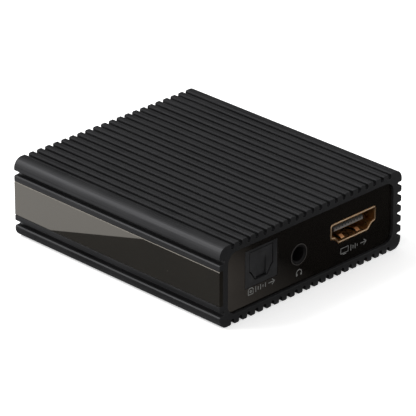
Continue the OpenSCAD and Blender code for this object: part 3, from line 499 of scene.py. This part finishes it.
def ink_finish(name, colour, under):
    material, tree, shader = start_finish(name, colour, 0.55, specular=0.3)
    holes = span(tree, noise(tree, 14000, 3, 0.7), 1, 0, 0.24, 0.34)
    body = blend(tree, holes, tone(colour), tone(under))
    connect(tree, shader, Base_Color=body, Roughness=span(tree, noise(tree, 5000, 2), 0.45, 0.65),
            Normal=bump(tree, noise(tree, 9000, 2), 0.004, 0.5))
    return material


LENS = lens_finish()
PRINT_INK = ink_finish("print_ink", "#6c6c6a", "#262422")
BOARD_INK = ink_finish("board_ink", "#c9cdc8", "#1d5034")
SOLDER = plated_finish("solder_tin", "#c0c3c6", "#8f9296", 0.26, (1500, 1500, 1500), 0.02)
print("made", LENS.name, PRINT_INK.name, BOARD_INK.name, "and", SOLDER.name)

# %% [markdown]
# ## Put the finishes on the solids
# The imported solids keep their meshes, and only the material in each slot changes. A table from node to
# finish keeps the choice readable, and the loop stops if a node was forgotten.

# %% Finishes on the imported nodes
FINISHES = {
    "housing_sleeve": ANODISED, "side_inlay": INLAY,
    "front_end_plate": PLATE, "front_panel": PANEL, "front_plate_screws": SCREW,
    "rear_end_plate": PLATE, "rear_panel": REAR_PANEL, "rear_plate_screws": SCREW,
    "main_board": BOARD,
    "video_out_shell": SHELL_GOLD, "video_out_insulator": INSULATOR, "video_out_contacts": CONTACT_GOLD,
    "video_in_shell": SHELL_GOLD, "video_in_insulator": INSULATOR, "video_in_contacts": CONTACT_GOLD,
    "optical_housing": RECEPTACLE, "optical_shutter": SHUTTER, "shutter_pin": PIN, "shutter_spring": PIN,
    "optical_emitter": EMITTER,
    "headphone_jack_body": JACK, "headphone_jack_contacts": CONTACT_TIN,
    "dc_jack_body": POWER, "dc_jack_pin": CONTACT_TIN, "dc_jack_contact": CONTACT_TIN,
    "mode_switch_frame": SWITCH_STEEL, "mode_switch_base": LAMINATE, "mode_switch_slider": KNOB,
    "status_led": LENS,
    "video_processor": CHIP, "audio_converter": CHIP, "voltage_regulator": CHIP, "crystal": CAN_STEEL,
    "electrolytic_capacitors": CAN_ALUMINIUM, "power_inductor": FERRITE,
    "chip_capacitors": CAPACITOR, "chip_resistors": RESISTOR,
}

for name, node in NODES.items():
    if name not in FINISHES:
        raise SystemExit(f"no finish for {name}")
    for slot in node.material_slots:
        slot.material = FINISHES[name]
print("finished", len(FINISHES), "nodes")

# %% [markdown]
# ## Geometry Nodes, and how they are used
# Small Geometry Nodes trees make what repeats or follows a path: solder joints, teeth, the rolled lips
# of the video sockets and the strokes of the signs. Lips and strokes share one tree, a round profile
# swept along a path. Inputs are set by socket identifier, the result becomes a plain mesh, and the
# modifier goes.

# %% Tree helpers
def geo(tree, kind, inputs):
    return add(tree, "GeometryNode" + kind, inputs).outputs[0]


def start_tree(name, inputs):
    tree = bpy.data.node_groups.new(name, "GeometryNodeTree")
    tree.interface.new_socket("Geometry", in_out="INPUT", socket_type="NodeSocketGeometry")
    for label, kind in inputs.items():
        tree.interface.new_socket(label, in_out="INPUT", socket_type="NodeSocket" + kind)
    tree.interface.new_socket("Geometry", in_out="OUTPUT", socket_type="NodeSocketGeometry")
    return tree, add(tree, "NodeGroupInput").outputs, add(tree, "NodeGroupOutput")


def close_tree(tree, geometry, finish_socket, out):
    real = geo(tree, "RealizeInstances", {"Geometry": geometry})
    dressed = geo(tree, "SetMaterial", {"Geometry": real, "Material": finish_socket})
    tree.links.new(dressed, out.inputs[0])


def mesh_object(name, points, edges=(), faces=()):
    mesh = bpy.data.meshes.new(name)
    mesh.from_pydata([tuple(p) for p in points], list(edges), list(faces))
    return new_object(name, mesh)


def plain_mesh(thing):
    return bpy.data.meshes.new_from_object(thing.evaluated_get(bpy.context.evaluated_depsgraph_get()))


def join(tree, *shapes):
    joined = add(tree, "GeometryNodeJoinGeometry")
    for shape in shapes:
        tree.links.new(shape, joined.inputs[0])
    return joined.outputs[0]


def grow(seed, tree, values):
    """Runs a tree on an object and keeps the result as the object's plain mesh."""
    modifier = seed.modifiers.new(tree.name, "NODES")
    modifier.node_group = tree
    sockets = {s.name: s.identifier for s in tree.interface.items_tree if s.in_out == "INPUT"}
    for label, value in values.items():
        modifier[sockets[label]] = value
    mesh = plain_mesh(seed)
    seed.modifiers.clear()
    old, seed.data = seed.data, mesh
    bpy.data.meshes.remove(old)
    mesh.name = seed.name
    return seed


def fix_normals(piece):
    shape = bmesh.new()
    shape.from_mesh(piece.data)
    bmesh.ops.remove_doubles(shape, verts=shape.verts, dist=0.0005 * MM)
    bmesh.ops.recalc_face_normals(shape, faces=shape.faces)
    shape.to_mesh(piece.data)
    shape.free()


def sweep_tree(name, sides, smooth=False):
    """Sweeps a round profile along a path, presses it flat as asked and lifts it to its place."""
    tree, given, out = start_tree(name, {
        "Radius": "Float", "Flatten": "Vector", "Lift": "Vector", "Finish": "Material"})
    path = geo(tree, "MeshToCurve", {"Mesh": given["Geometry"]})
    profile = geo(tree, "CurvePrimitiveCircle", {"Resolution": sides, "Radius": given["Radius"]})
    swept = geo(tree, "CurveToMesh", {"Curve": path, "Profile Curve": profile, "Fill Caps": True})
    if smooth:
        swept = geo(tree, "SetShadeSmooth", {"Geometry": swept})
    pressed = geo(tree, "Transform", {
        "Geometry": swept, "Scale": given["Flatten"], "Translation": given["Lift"]})
    close_tree(tree, pressed, given["Finish"], out)
    return tree


def fit(piece):
    """Lets a piece ride on the box."""
    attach(piece, "box")


print("tree helpers ready")

# %% [markdown]
# ## Rolled lips of the video sockets
# The sheet of a video socket's shell is rolled over at its mouth into a smooth round bead, the bright
# gold frame in the photograph. The solid has a flat-faced lip of the right size and stays as it is, so
# a round profile swept along the lip's middle adds the bead, sunk until only its crown stands out.

# %% Rolled lips
LIP_RADIUS = 0.145 * MM
LIP_SUNK = 0.09 * MM
LIP_PROUD = 0.15 * MM
LIP_RIGHT = [(4.89, 0.1, 0.3), (6.14, 1.5, 0.2), (7.4, 1.86, 0.2), (7.4, 5.15, 0.55)]
LIP_CORNERS = [(-x, z, radius) for x, z, radius in reversed(LIP_RIGHT)] + LIP_RIGHT


def round_corners(corners, steps=5):
    """Replaces each corner (x, z, radius) of a closed outline by a short curve."""
    flat = [Vector((x, z)) for x, z, _ in corners]
    points = []
    for index, corner in enumerate(flat):
        reach = corners[index][2]
        start = corner + (flat[index - 1] - corner).normalized() * reach
        end = corner + (flat[(index + 1) % len(flat)] - corner).normalized() * reach
        for step in range(steps + 1):
            t = step / steps
            points.append(start * (1 - t) ** 2 + corner * 2 * t * (1 - t) + end * t ** 2)
    return points


def lip_route(shell):
    low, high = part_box(shell)
    face = low.y if high.y < 0 else high.y
    rim = [v.co for v in NODES[shell].data.vertices if abs(v.co.y - face) < 0.01 * MM]
    foot_z = min(p.z for p in rim) + LIP_PROUD
    y = face + math.copysign(LIP_SUNK, -face)
    x = middle_x(shell)
    return [Vector((x + p.x * MM, y, foot_z + p.y * MM)) for p in round_corners(LIP_CORNERS)]


LIP_TREE = sweep_tree("rolled_lip", sides=14, smooth=True)
for shell in ("video_out_shell", "video_in_shell"):
    route = lip_route(shell)
    loop = [(i, (i + 1) % len(route)) for i in range(len(route))]
    lip = grow(mesh_object(shell + "_lip", route, loop), LIP_TREE,
               {"Radius": LIP_RADIUS, "Flatten": (1, 1, 1), "Lift": (0, 0, 0), "Finish": LIP_GOLD})
    fit(lip)
    print(lip.name, len(lip.data.polygons), "faces")

# %% [markdown]
# ## Noses of the tongues
# A video socket's tongue ends in pale filled plastic that takes the plug's knocks: a low bar with a row
# of teeth above it. The teeth repeat, so one rounded tooth is filled, extruded and set on a row of
# points. The bar is a row of one.

# %% One tooth, many times
def tooth_tree():
    tree, given, out = start_tree("rounded_teeth", {
        "Count": "Int", "Pitch": "Float", "Width": "Float", "Height": "Float", "Corner": "Float",
        "Depth": "Float", "Start": "Vector", "Turn": "Vector", "Finish": "Material"})
    step = add(tree, "ShaderNodeCombineXYZ", {0: given["Pitch"]}).outputs[0]
    row = geo(tree, "MeshLine", {"Count": given["Count"], "Offset": step})
    outline = geo(tree, "CurvePrimitiveQuadrilateral", {"Width": given["Width"], "Height": given["Height"]})
    rounded = add(tree, "GeometryNodeFilletCurve", {
        "Curve": outline, "Count": 3, "Radius": given["Corner"]}, mode="POLY").outputs[0]
    face = geo(tree, "FillCurve", {"Curve": rounded})
    top = geo(tree, "ExtrudeMesh", {"Mesh": face, "Offset Scale": given["Depth"]})
    base = geo(tree, "FlipFaces", {"Mesh": face})
    tooth = geo(tree, "MergeByDistance", {"Geometry": join(tree, top, base), "Distance": 0.001 * MM})
    teeth = geo(tree, "InstanceOnPoints", {"Points": row, "Instance": tooth})
    real = geo(tree, "RealizeInstances", {"Geometry": teeth})
    turned = geo(tree, "Transform", {
        "Geometry": real, "Rotation": given["Turn"], "Translation": given["Start"]})
    close_tree(tree, turned, given["Finish"], out)
    return tree


TOOTH_TREE = tooth_tree()


def tooth_row(name, sizes):
    row = grow(mesh_object(name, [(0, 0, 0)]), TOOTH_TREE, sizes)
    fix_normals(row)
    fit(row)


print("tooth tree ready")

# %% [markdown]
# ## Set the noses on the tongues
# The tongues are found on the solids: the points nearest the mouth are the tip, and its width and height
# size the bar and the teeth, so these follow when a socket moves. The rear socket looks the other way,
# so its rows are turned half round and start at the other end.

# %% Tongue noses
TOOTH_COUNT = 10
TOOTH_PITCH = 1.0 * MM
TOOTH_WIDTH = 0.42 * MM
TOOTH_CORNER = 0.1 * MM
NOSE_PROUD = 0.1 * MM
TEETH_PROUD = 0.08 * MM
BAR_HEIGHT_SHARE = 0.52
BAR_WIDTH_SHARE = 0.98
BAR_CORNER_SHARE = 0.3
BAR_MIDDLE_SHARE = 0.55
TOOTH_HEIGHT_SHARE = 0.5


def tongue_nose(socket):
    way = 1 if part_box(socket + "_shell")[1].y < 0 else -1
    tongue = [v.co for v in NODES[socket + "_insulator"].data.vertices]
    front = min(p.y * way for p in tongue)
    tip = [p for p in tongue if p.y * way < front + 0.05 * MM]
    low_x, high_x = min(p.x for p in tip), max(p.x for p in tip)
    low_z, high_z = min(p.z for p in tip), max(p.z for p in tip)
    middle, y = (low_x + high_x) / 2, front * way
    bar_h = (high_z - low_z) * BAR_HEIGHT_SHARE
    tooth_h = (high_z - low_z) * TOOTH_HEIGHT_SHARE
    common = {"Pitch": TOOTH_PITCH, "Finish": NOSE,
              "Turn": (math.radians(90), 0, 0 if way > 0 else math.radians(180))}
    tooth_row(socket + "_nose_bar", {
        "Count": 1, "Width": (high_x - low_x) * BAR_WIDTH_SHARE, "Height": bar_h,
        "Corner": bar_h * BAR_CORNER_SHARE, "Depth": NOSE_PROUD,
        "Start": (middle, y, low_z + bar_h * BAR_MIDDLE_SHARE), **common})
    first = middle - way * TOOTH_PITCH * (TOOTH_COUNT - 1) / 2
    tooth_row(socket + "_nose_teeth", {
        "Count": TOOTH_COUNT, "Width": TOOTH_WIDTH, "Height": tooth_h, "Corner": TOOTH_CORNER,
        "Depth": TEETH_PROUD, "Start": (first, y, high_z - tooth_h / 2), **common})
    print(socket, "nose from z", round(low_z / MM, 2), "to", round(high_z / MM, 2))


for socket in ("video_out", "video_in"):
    tongue_nose(socket)

# %% [markdown]
# ## Strokes of ink
# The signs on the panels are pale grey print in lines of even weight. They could be a flat picture, but
# strokes stay sharp from any distance. Each is a round profile swept along a path and pressed flat, a
# line of ink about a hundredth of a millimetre proud.

# %% Stroke helpers
INK_PROUD = 0.014 * MM
STROKE_TREE = sweep_tree("ink_stroke", sides=8)


def arc(cx, cz, radius, start=0, end=360, steps=14):
    turn = [math.radians(start + (end - start) * i / steps) for i in range(steps + 1)]
    return [(cx + radius * math.cos(a), cz + radius * math.sin(a)) for a in turn]


def upright(points, mirror=1):
    return [Vector((mirror * x * MM, 0, z * MM)) for x, z in points]


def lying(points, mirror=1):
    return [Vector((mirror * x * MM, y * MM, 0)) for x, y in points]


def draw(name, strokes, half_width, finish, stand, lift, slot, mirror=1):
    points, edges = [], []
    for stroke in strokes:
        first = len(points)
        points += stand(stroke, mirror)
        edges += [(first + i, first + i + 1) for i in range(len(stroke) - 1)]
    press = INK_PROUD / (half_width * MM)
    flatten = (1, press, 1) if stand is upright else (1, 1, press)
    ink = grow(mesh_object(name, points, edges), STROKE_TREE, {
        "Radius": half_width * MM, "Flatten": flatten, "Lift": lift, "Finish": finish})
    fix_normals(ink)
    fit(ink)
    print(name, len(strokes), "strokes,", len(ink.data.polygons), "faces")


print("stroke tree ready")

# %% [markdown]
# ## Signs on the front panel
# Under each socket stands a plain sign in the place and size of the real print: a socket outline, bars
# for a signal and an arrow on the left, a headphone in the middle, and a screen with bars and an arrow
# on the right. All come from a few functions, in millimetres, so that one change of a size changes
# every sign alike.

# %% Sign shapes
BAND_RADIUS = 0.84
CUP_OFFSET = 0.68
CUP_TOP, CUP_FOOT = -0.08, -0.62
BAND_FOOT = 0.1
SOCKET_HALF = 0.78
SCREEN_WIDTH, SCREEN_HEIGHT = 2.5, 1.34
SCREEN_LIFT, STAND_DROP = 0.14, -0.84
ARROW_SIZE, ARROW_TAIL = 0.85, 2.0
PULSE = [1.5, 0.9, 1.3, 0.6, 1.1]
PULSE_STEP = 0.72


def two_posts(cx, offset, start, end):
    return [[(cx + side * offset, start), (cx + side * offset, end)] for side in (-1, 1)]


def headphone_sign(cx, cz):
    arms = two_posts(cx, BAND_RADIUS, cz + BAND_FOOT, cz + CUP_FOOT)
    return [arc(cx, cz, BAND_RADIUS, -8, 188)] + arms


def cups(cx, cz):
    return two_posts(cx, CUP_OFFSET, cz + CUP_FOOT, cz + CUP_TOP)


def bars(start, cz, heights=PULSE[:4], step=PULSE_STEP):
    return [[(start + i * step, cz - h / 2), (start + i * step, cz + h / 2)] for i, h in enumerate(heights)]


def arrow(tip, cz, way=1):
    back, side = tip - way * ARROW_SIZE, ARROW_SIZE * 0.8
    return [[(back, cz + side), (tip, cz), (back, cz - side)], [(tip - way * ARROW_TAIL, cz), (tip, cz)]]


def socket_sign(left, cz):
    h = SOCKET_HALF
    corners = [(0, -h), (0, h / 2), (h / 2, h), (h * 1.5, h), (h * 2, h / 2), (h * 2, -h), (0, -h)]
    return [[(left + x, cz + z) for x, z in corners], arc(left + h, cz - 0.08, 0.24, steps=10)]


def screen_sign(left, cz):
    low, high = cz + SCREEN_LIFT - SCREEN_HEIGHT / 2, cz + SCREEN_LIFT + SCREEN_HEIGHT / 2
    right = left + SCREEN_WIDTH
    screen = [(left, low), (right, low), (right, high), (left, high), (left, low)]
    return [screen, [(left + 0.7, cz + STAND_DROP), (left + 1.8, cz + STAND_DROP)]]


print("sign shapes ready")

# %% [markdown]
# ## Print the front signs
# The front panel's face is found on its solid, and the ink is lifted onto it. The signs are placed from
# the sockets, to a tenth of a millimetre. The cups of the headphone are wider strokes than the rest, so
# they are a piece of their own.

# %% Front signs
FRONT_PRINT = (PRINT_INK, upright, (0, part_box("front_panel")[0].y, 0), "panel_gloss")
LINE_HALF = 0.13
CUP_HALF = 0.24
LEFT_Z, HEADPHONE_Z, RIGHT_Z = 5.75, 4.8, 5.2


def beside(node, offset):
    return round(middle_x(node) / MM + offset, 1)


left_sign = (socket_sign(beside("optical_housing", -4.15), LEFT_Z)
             + bars(beside("optical_housing", -1.75), LEFT_Z, PULSE, 0.78)
             + arrow(beside("optical_housing", 4.35), LEFT_Z))
right_sign = (screen_sign(beside("video_out_shell", -4.1), RIGHT_Z)
              + bars(beside("video_out_shell", -0.7), RIGHT_Z)
              + arrow(beside("video_out_shell", 4.5), RIGHT_Z))
HEADPHONE_X = middle_x("headphone_jack_body") / MM
headphone = headphone_sign(HEADPHONE_X, HEADPHONE_Z)
draw("front_signs", left_sign + right_sign + headphone, LINE_HALF, *FRONT_PRINT)
draw("headphone_sign_cups", cups(HEADPHONE_X, HEADPHONE_Z), CUP_HALF, *FRONT_PRINT)

# %% [markdown]
# ## Signs on the rear panel
# No photograph shows the rear, so its signs are the plain ones that such boxes need: which way the
# video goes, the polarity of the power plug, a number under each place of the switch, and rays round
# a dot for the status light. Numbers are text made into a mesh, and the rest are strokes. The rear is
# drawn as its reader sees it, so left and right change over.

# %% Rear sign shapes
REAR_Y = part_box("rear_panel")[1].y
REAR_PRINT = (PRINT_INK, upright, (0, REAR_Y, 0), "panel_gloss", -1)
RING_RADIUS, CUP_RADIUS, PIN_RADIUS = 0.55, 0.62, 0.12
RING_OFFSET = 2.1
MARK_HALF = 0.28
DOT_SIZE, RAY_START, RAY_END = 0.26, 0.5, 0.85


def polarity_sign(cx, cz):
    left, right = cx - RING_OFFSET, cx + RING_OFFSET
    rings = [arc(left, cz, RING_RADIUS, steps=18), arc(right, cz, RING_RADIUS, steps=18),
             arc(cx, cz, CUP_RADIUS, 40, 320, 16), arc(cx, cz, PIN_RADIUS, steps=8)]
    wires = [[(left + RING_RADIUS, cz), (cx - CUP_RADIUS, cz)],
             [(cx + PIN_RADIUS, cz), (right - RING_RADIUS, cz)]]
    marks = [[(x - MARK_HALF, cz), (x + MARK_HALF, cz)] for x in (left, right)]
    return rings + wires + marks + [[(right, cz - MARK_HALF), (right, cz + MARK_HALF)]]


def light_sign(cx, cz):
    inner, outer = (arc(cx, cz, radius, steps=8)[:8] for radius in (RAY_START, RAY_END))
    return [*zip(inner, outer), arc(cx, cz, DOT_SIZE, steps=12)]


def number_mesh(text, cx, cz, size):
    curve = bpy.data.curves.new("number_" + text, "FONT")
    curve.body, curve.size, curve.align_x = text, size * MM, "CENTER"
    curve.extrude = INK_PROUD / 2
    typed = new_object("typed_" + text, curve)
    mesh = plain_mesh(typed)
    bpy.data.objects.remove(typed)
    number = new_object("number_" + text, mesh)
    for v in mesh.vertices:
        x, y, z = v.co
        v.co = (-(x + cx * MM), REAR_Y + z + INK_PROUD / 2, y + cz * MM)
    mesh.materials.clear()
    mesh.materials.append(PRINT_INK)
    fix_normals(number)
    fit(number)


print("rear sign shapes ready")

# %% [markdown]
# ## Print the rear signs
# Each sign hangs on the middle of the part that it explains, and the numbers stand under the places
# where the switch's knob stops.

# %% Rear signs
SIGN_Z = 5.2
REAR_LINE_HALF = 0.11
SWITCH_STEP = 2.0
NUMBER_SIZE, NUMBER_DROP = 1.7, 0.75
TICK_LOW, TICK_HIGH = 1.0, 1.5
VIDEO_X, POWER_X, SWITCH_X, LIGHT_X = (
    -middle_x(node) / MM for node in ("video_in_shell", "dc_jack_body", "mode_switch_frame", "status_led"))

video_sign = (screen_sign(VIDEO_X - 4.3, SIGN_Z) + bars(VIDEO_X + 2.0, SIGN_Z)
              + arrow(VIDEO_X - 1.2, SIGN_Z, way=-1))
rear_signs = video_sign + polarity_sign(POWER_X, SIGN_Z) + light_sign(LIGHT_X, SIGN_Z)
draw("rear_signs", rear_signs, REAR_LINE_HALF, *REAR_PRINT)
stops = [SWITCH_X + step * SWITCH_STEP for step in (-1, 0, 1)]
for text, x in zip("123", stops):
    number_mesh(text, x, SIGN_Z - NUMBER_DROP, NUMBER_SIZE)
ticks = [[(x, SIGN_Z + TICK_LOW), (x, SIGN_Z + TICK_HIGH)] for x in stops]
draw("switch_ticks", ticks, REAR_LINE_HALF, *REAR_PRINT)

# %% [markdown]
# ## Find the pins
# Every pin that comes through the board ends in solder below it. The pins could be listed by hand, but
# they are found on the solids, so they follow when the board changes: points below the board are
# gathered into groups, and each group's middle is a pin.

# %% Pins below the board
BOARD_LOW, BOARD_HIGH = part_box("main_board")
PIN_SHOWS = 0.3 * MM
THROUGH_PARTS = ["video_out_shell", "video_in_shell", "optical_emitter", "headphone_jack_contacts",
                 "dc_jack_pin", "dc_jack_contact", "mode_switch_frame", "mode_switch_base", "status_led"]


def groups(points, reach):
    """Gathers points that lie within reach of each other: the middle and the width of each group."""
    cells = defaultdict(list)
    for p in points:
        cells[(round(p.x / reach), round(p.y / reach))].append(p)
    left, found = set(cells), []
    while left:
        stack, members = [left.pop()], []
        while stack:
            cell = stack.pop()
            members += cells[cell]
            around = {(cell[0] + dx, cell[1] + dy) for dx in (-1, 0, 1) for dy in (-1, 0, 1)} & left
            left -= around
            stack += around
        xs, ys = [p.x for p in members], [p.y for p in members]
        width = max(max(xs) - min(xs), max(ys) - min(ys))
        found.append(((min(xs) + max(xs)) / 2, (min(ys) + max(ys)) / 2, width))
    return sorted(found)


pins = []
for name in THROUGH_PARTS:
    below = [v.co for v in NODES[name].data.vertices if v.co.z < BOARD_LOW.z - PIN_SHOWS]
    pins += [(x, y, BOARD_LOW.z) for x, y, _ in groups(below, 0.7 * MM)]
print(len(pins), "pins come through the board")

# %% [markdown]
# ## Solder joints
# Molten solder wets a pin, climbs it and sets as a cone with a hollow flank. Two stacked cones, a low
# wide one and a steep one, give that flank in a few faces, and one such joint is set on every pin.

# %% Solder joints
def cone(tree, given, foot, top, height):
    return geo(tree, "MeshCone", {
        "Vertices": 14, "Radius Top": given[top], "Radius Bottom": given[foot], "Depth": given[height]})


def joint_tree():
    tree, given, out = start_tree("solder_joint", {
        "Foot Radius": "Float", "Waist Radius": "Float", "Tip Radius": "Float",
        "Foot Height": "Float", "Tip Height": "Float", "Finish": "Material"})
    lift = add(tree, "ShaderNodeCombineXYZ", {2: given["Foot Height"]}).outputs[0]
    tip = cone(tree, given, "Waist Radius", "Tip Radius", "Tip Height")
    raised = geo(tree, "Transform", {"Geometry": tip, "Translation": lift})
    joint = join(tree, cone(tree, given, "Foot Radius", "Waist Radius", "Foot Height"), raised)
    under = geo(tree, "Transform", {"Geometry": joint, "Rotation": (math.pi, 0, 0)})
    placed = geo(tree, "InstanceOnPoints", {"Points": given["Geometry"], "Instance": under})
    smooth = geo(tree, "SetShadeSmooth", {"Geometry": placed})
    close_tree(tree, smooth, given["Finish"], out)
    return tree


joints = grow(mesh_object("solder_joints", pins), joint_tree(), {
    "Foot Radius": 0.75 * MM, "Waist Radius": 0.42 * MM, "Tip Radius": 0.25 * MM,
    "Foot Height": 0.2 * MM, "Tip Height": 0.45 * MM, "Finish": SOLDER})
fit(joints)
print(joints.name, len(joints.data.polygons), "faces")

# %% [markdown]
# ## Ink on the board
# A board carries white ink that shows where each part goes: corners round each chip, a dot at its first
# pin, and a cross for the positive leg of each round capacitor. The outlines are worked out from the
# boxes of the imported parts, so they move with them.

# %% Board ink
OUTLINED = ("video_processor", "audio_converter", "voltage_regulator", "power_inductor", "crystal")
OUTLINE_GAP = 0.35
CORNER_SHARE = 0.22
DOT_RADIUS = 0.1
DOT_LEFT, DOT_UP = 0.44, 0.1
MARK_GAP, CROSS_GAP, CROSS_HALF = 0.3, 0.75, 0.35
BOARD_LINE_HALF = 0.09


def outline_strokes(node):
    low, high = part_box(node)
    cx, cy = (low.x + high.x) / 2 / MM, (low.y + high.y) / 2 / MM
    wide, deep = (high.x - low.x) / MM + 2 * OUTLINE_GAP, (high.y - low.y) / MM + 2 * OUTLINE_GAP
    strokes = []
    for sx, sy in ((-1, -1), (-1, 1), (1, -1), (1, 1)):
        x, y = cx + sx * wide / 2, cy + sy * deep / 2
        strokes.append([(x - sx * wide * CORNER_SHARE, y), (x, y), (x, y - sy * deep * CORNER_SHARE)])
    return strokes + [arc(cx - wide / 2 - DOT_LEFT, cy + deep / 2 + DOT_UP, DOT_RADIUS, steps=8)]


def capacitor_marks():
    strokes = []
    sides = [v.co for v in NODES["electrolytic_capacitors"].data.vertices]
    for x, y, across in groups(sides, 0.6 * MM):
        cx, cy, radius = x / MM, y / MM, across / 2 / MM
        cross_x = cx - radius - CROSS_GAP
        strokes.append(arc(cx, cy, radius + MARK_GAP, 100, 260, 12))
        strokes.append([(cross_x - CROSS_HALF, cy), (cross_x + CROSS_HALF, cy)])
        strokes.append([(cross_x, cy - CROSS_HALF), (cross_x, cy + CROSS_HALF)])
    return strokes


outlines = [stroke for node in OUTLINED for stroke in outline_strokes(node)]
draw("board_ink", outlines + capacitor_marks(), BOARD_LINE_HALF, BOARD_INK, lying,
     (0, 0, BOARD_HIGH.z), "board_laminate")

# %% [markdown]
# ## The studio
# The picture has a white background and soft light, and a pale floor and a white sky give both. The sky
# sheds less light than mirrors and the camera see, and the floor glows a little for these, so the ground
# comes out white while the object keeps its dark tones. A soft sun from the rear left gives the round
# top edge its highlight.

# %% Floor, sky and sun
SKY_FOR_LIGHT = 0.68
FLOOR_LIFT = 0.45
FLOOR_HALF = 3.0
SUN_STRENGTH = 2.45
SUN_ANGLE = math.radians(38)
SUN_FROM = Vector((-0.43, 0.62, 0.66)).normalized()


def seen_ray(tree):
    """One for what the camera, mirrors and clear things see, none for the light that a surface sheds."""
    rays = add(tree, "ShaderNodeLightPath").outputs
    seen = calc(tree, "MAXIMUM", rays["Is Camera Ray"], rays["Is Glossy Ray"])
    return calc(tree, "MAXIMUM", seen, rays["Is Transmission Ray"])


def white_sky():
    world = bpy.data.worlds.new("studio_sky")
    world.use_nodes = True
    tree = world.node_tree
    tree.nodes.clear()
    level = span(tree, seen_ray(tree), SKY_FOR_LIGHT, 1.0)
    sky = add(tree, "ShaderNodeBackground", {"Color": (1, 1, 1, 1), "Strength": level})
    tree.links.new(sky.outputs[0], add(tree, "ShaderNodeOutputWorld").inputs["Surface"])
    bpy.context.scene.world = world


def soft_sun():
    data = bpy.data.lights.new("soft_sun", "SUN")
    data.energy = SUN_STRENGTH
    data.angle = SUN_ANGLE
    lamp = new_object("soft_sun", data)
    lamp.rotation_mode = "QUATERNION"
    lamp.rotation_quaternion = SUN_FROM.to_track_quat("Z", "Y")


def pale_floor():
    material, tree, shader = start_finish("floor_paper", "#fbfbfb", 0.9, specular=0.1)
    shader.inputs["Emission Color"].default_value = (1, 1, 1, 1)
    connect(tree, shader, Base_Color=blend(tree, noise(tree, 900, 3), tone("#fafafa"), tone("#fdfdfd")),
            Emission_Strength=times(tree, seen_ray(tree), FLOOR_LIFT))
    corners = [(x * FLOOR_HALF, y * FLOOR_HALF, 0) for x, y in ((-1, -1), (1, -1), (1, 1), (-1, 1))]
    floor = mesh_object("floor", corners, faces=[(0, 1, 2, 3)])
    floor.data.materials.append(material)


white_sky()
soft_sun()
pale_floor()
bpy.context.scene.view_settings.view_transform = "Standard"
print("floor, sky and sun ready")

# %% [markdown]
# ## Cards for the gloss to mirror
# A white studio alone would turn the strip and the front panel pale, so dark cards lie on the floor for
# them to mirror. Only mirrors see them, and they cast no shadow. The left card's slanting edge is the
# border between the light and the dark field on the strip, and the front card fades from pale to dark,
# which shades the front panel from left to right.

# %% Mirror cards
CARD_LIFT = 0.05
CARD_EDGE = -31.5
LEFT_CARD = [(CARD_EDGE, 40.9), (-60, -3.7), (-60, -70), (CARD_EDGE, -70)]
FRONT_CARD = [(-80, -34.5), (400, -34.5), (400, -500), (-80, -500)]


def mirror_card(name, corners, left_tone, right_tone, fade_from=0.0, fade_to=1.0):
    material, tree, shader = start_finish(name, "#404040", 0.9, specular=0.0)
    fade = span(tree, axes(tree, place(tree))["X"], 0.0, 1.0, fade_from * MM, fade_to * MM)
    connect(tree, shader, Base_Color=blend(tree, fade, tone(left_tone), tone(right_tone)))
    card = mesh_object(name, [(x * MM, y * MM, CARD_LIFT * MM) for x, y in corners], faces=[(0, 1, 2, 3)])
    card.data.materials.append(material)
    card.visible_camera = card.visible_diffuse = card.visible_shadow = card.visible_transmission = False


mirror_card("left_card", LEFT_CARD, "#5d5d5d", "#5d5d5d")
mirror_card("front_card", FRONT_CARD, "#e8e8e8", "#262626", fade_from=-19, fade_to=6)
print("cards laid")
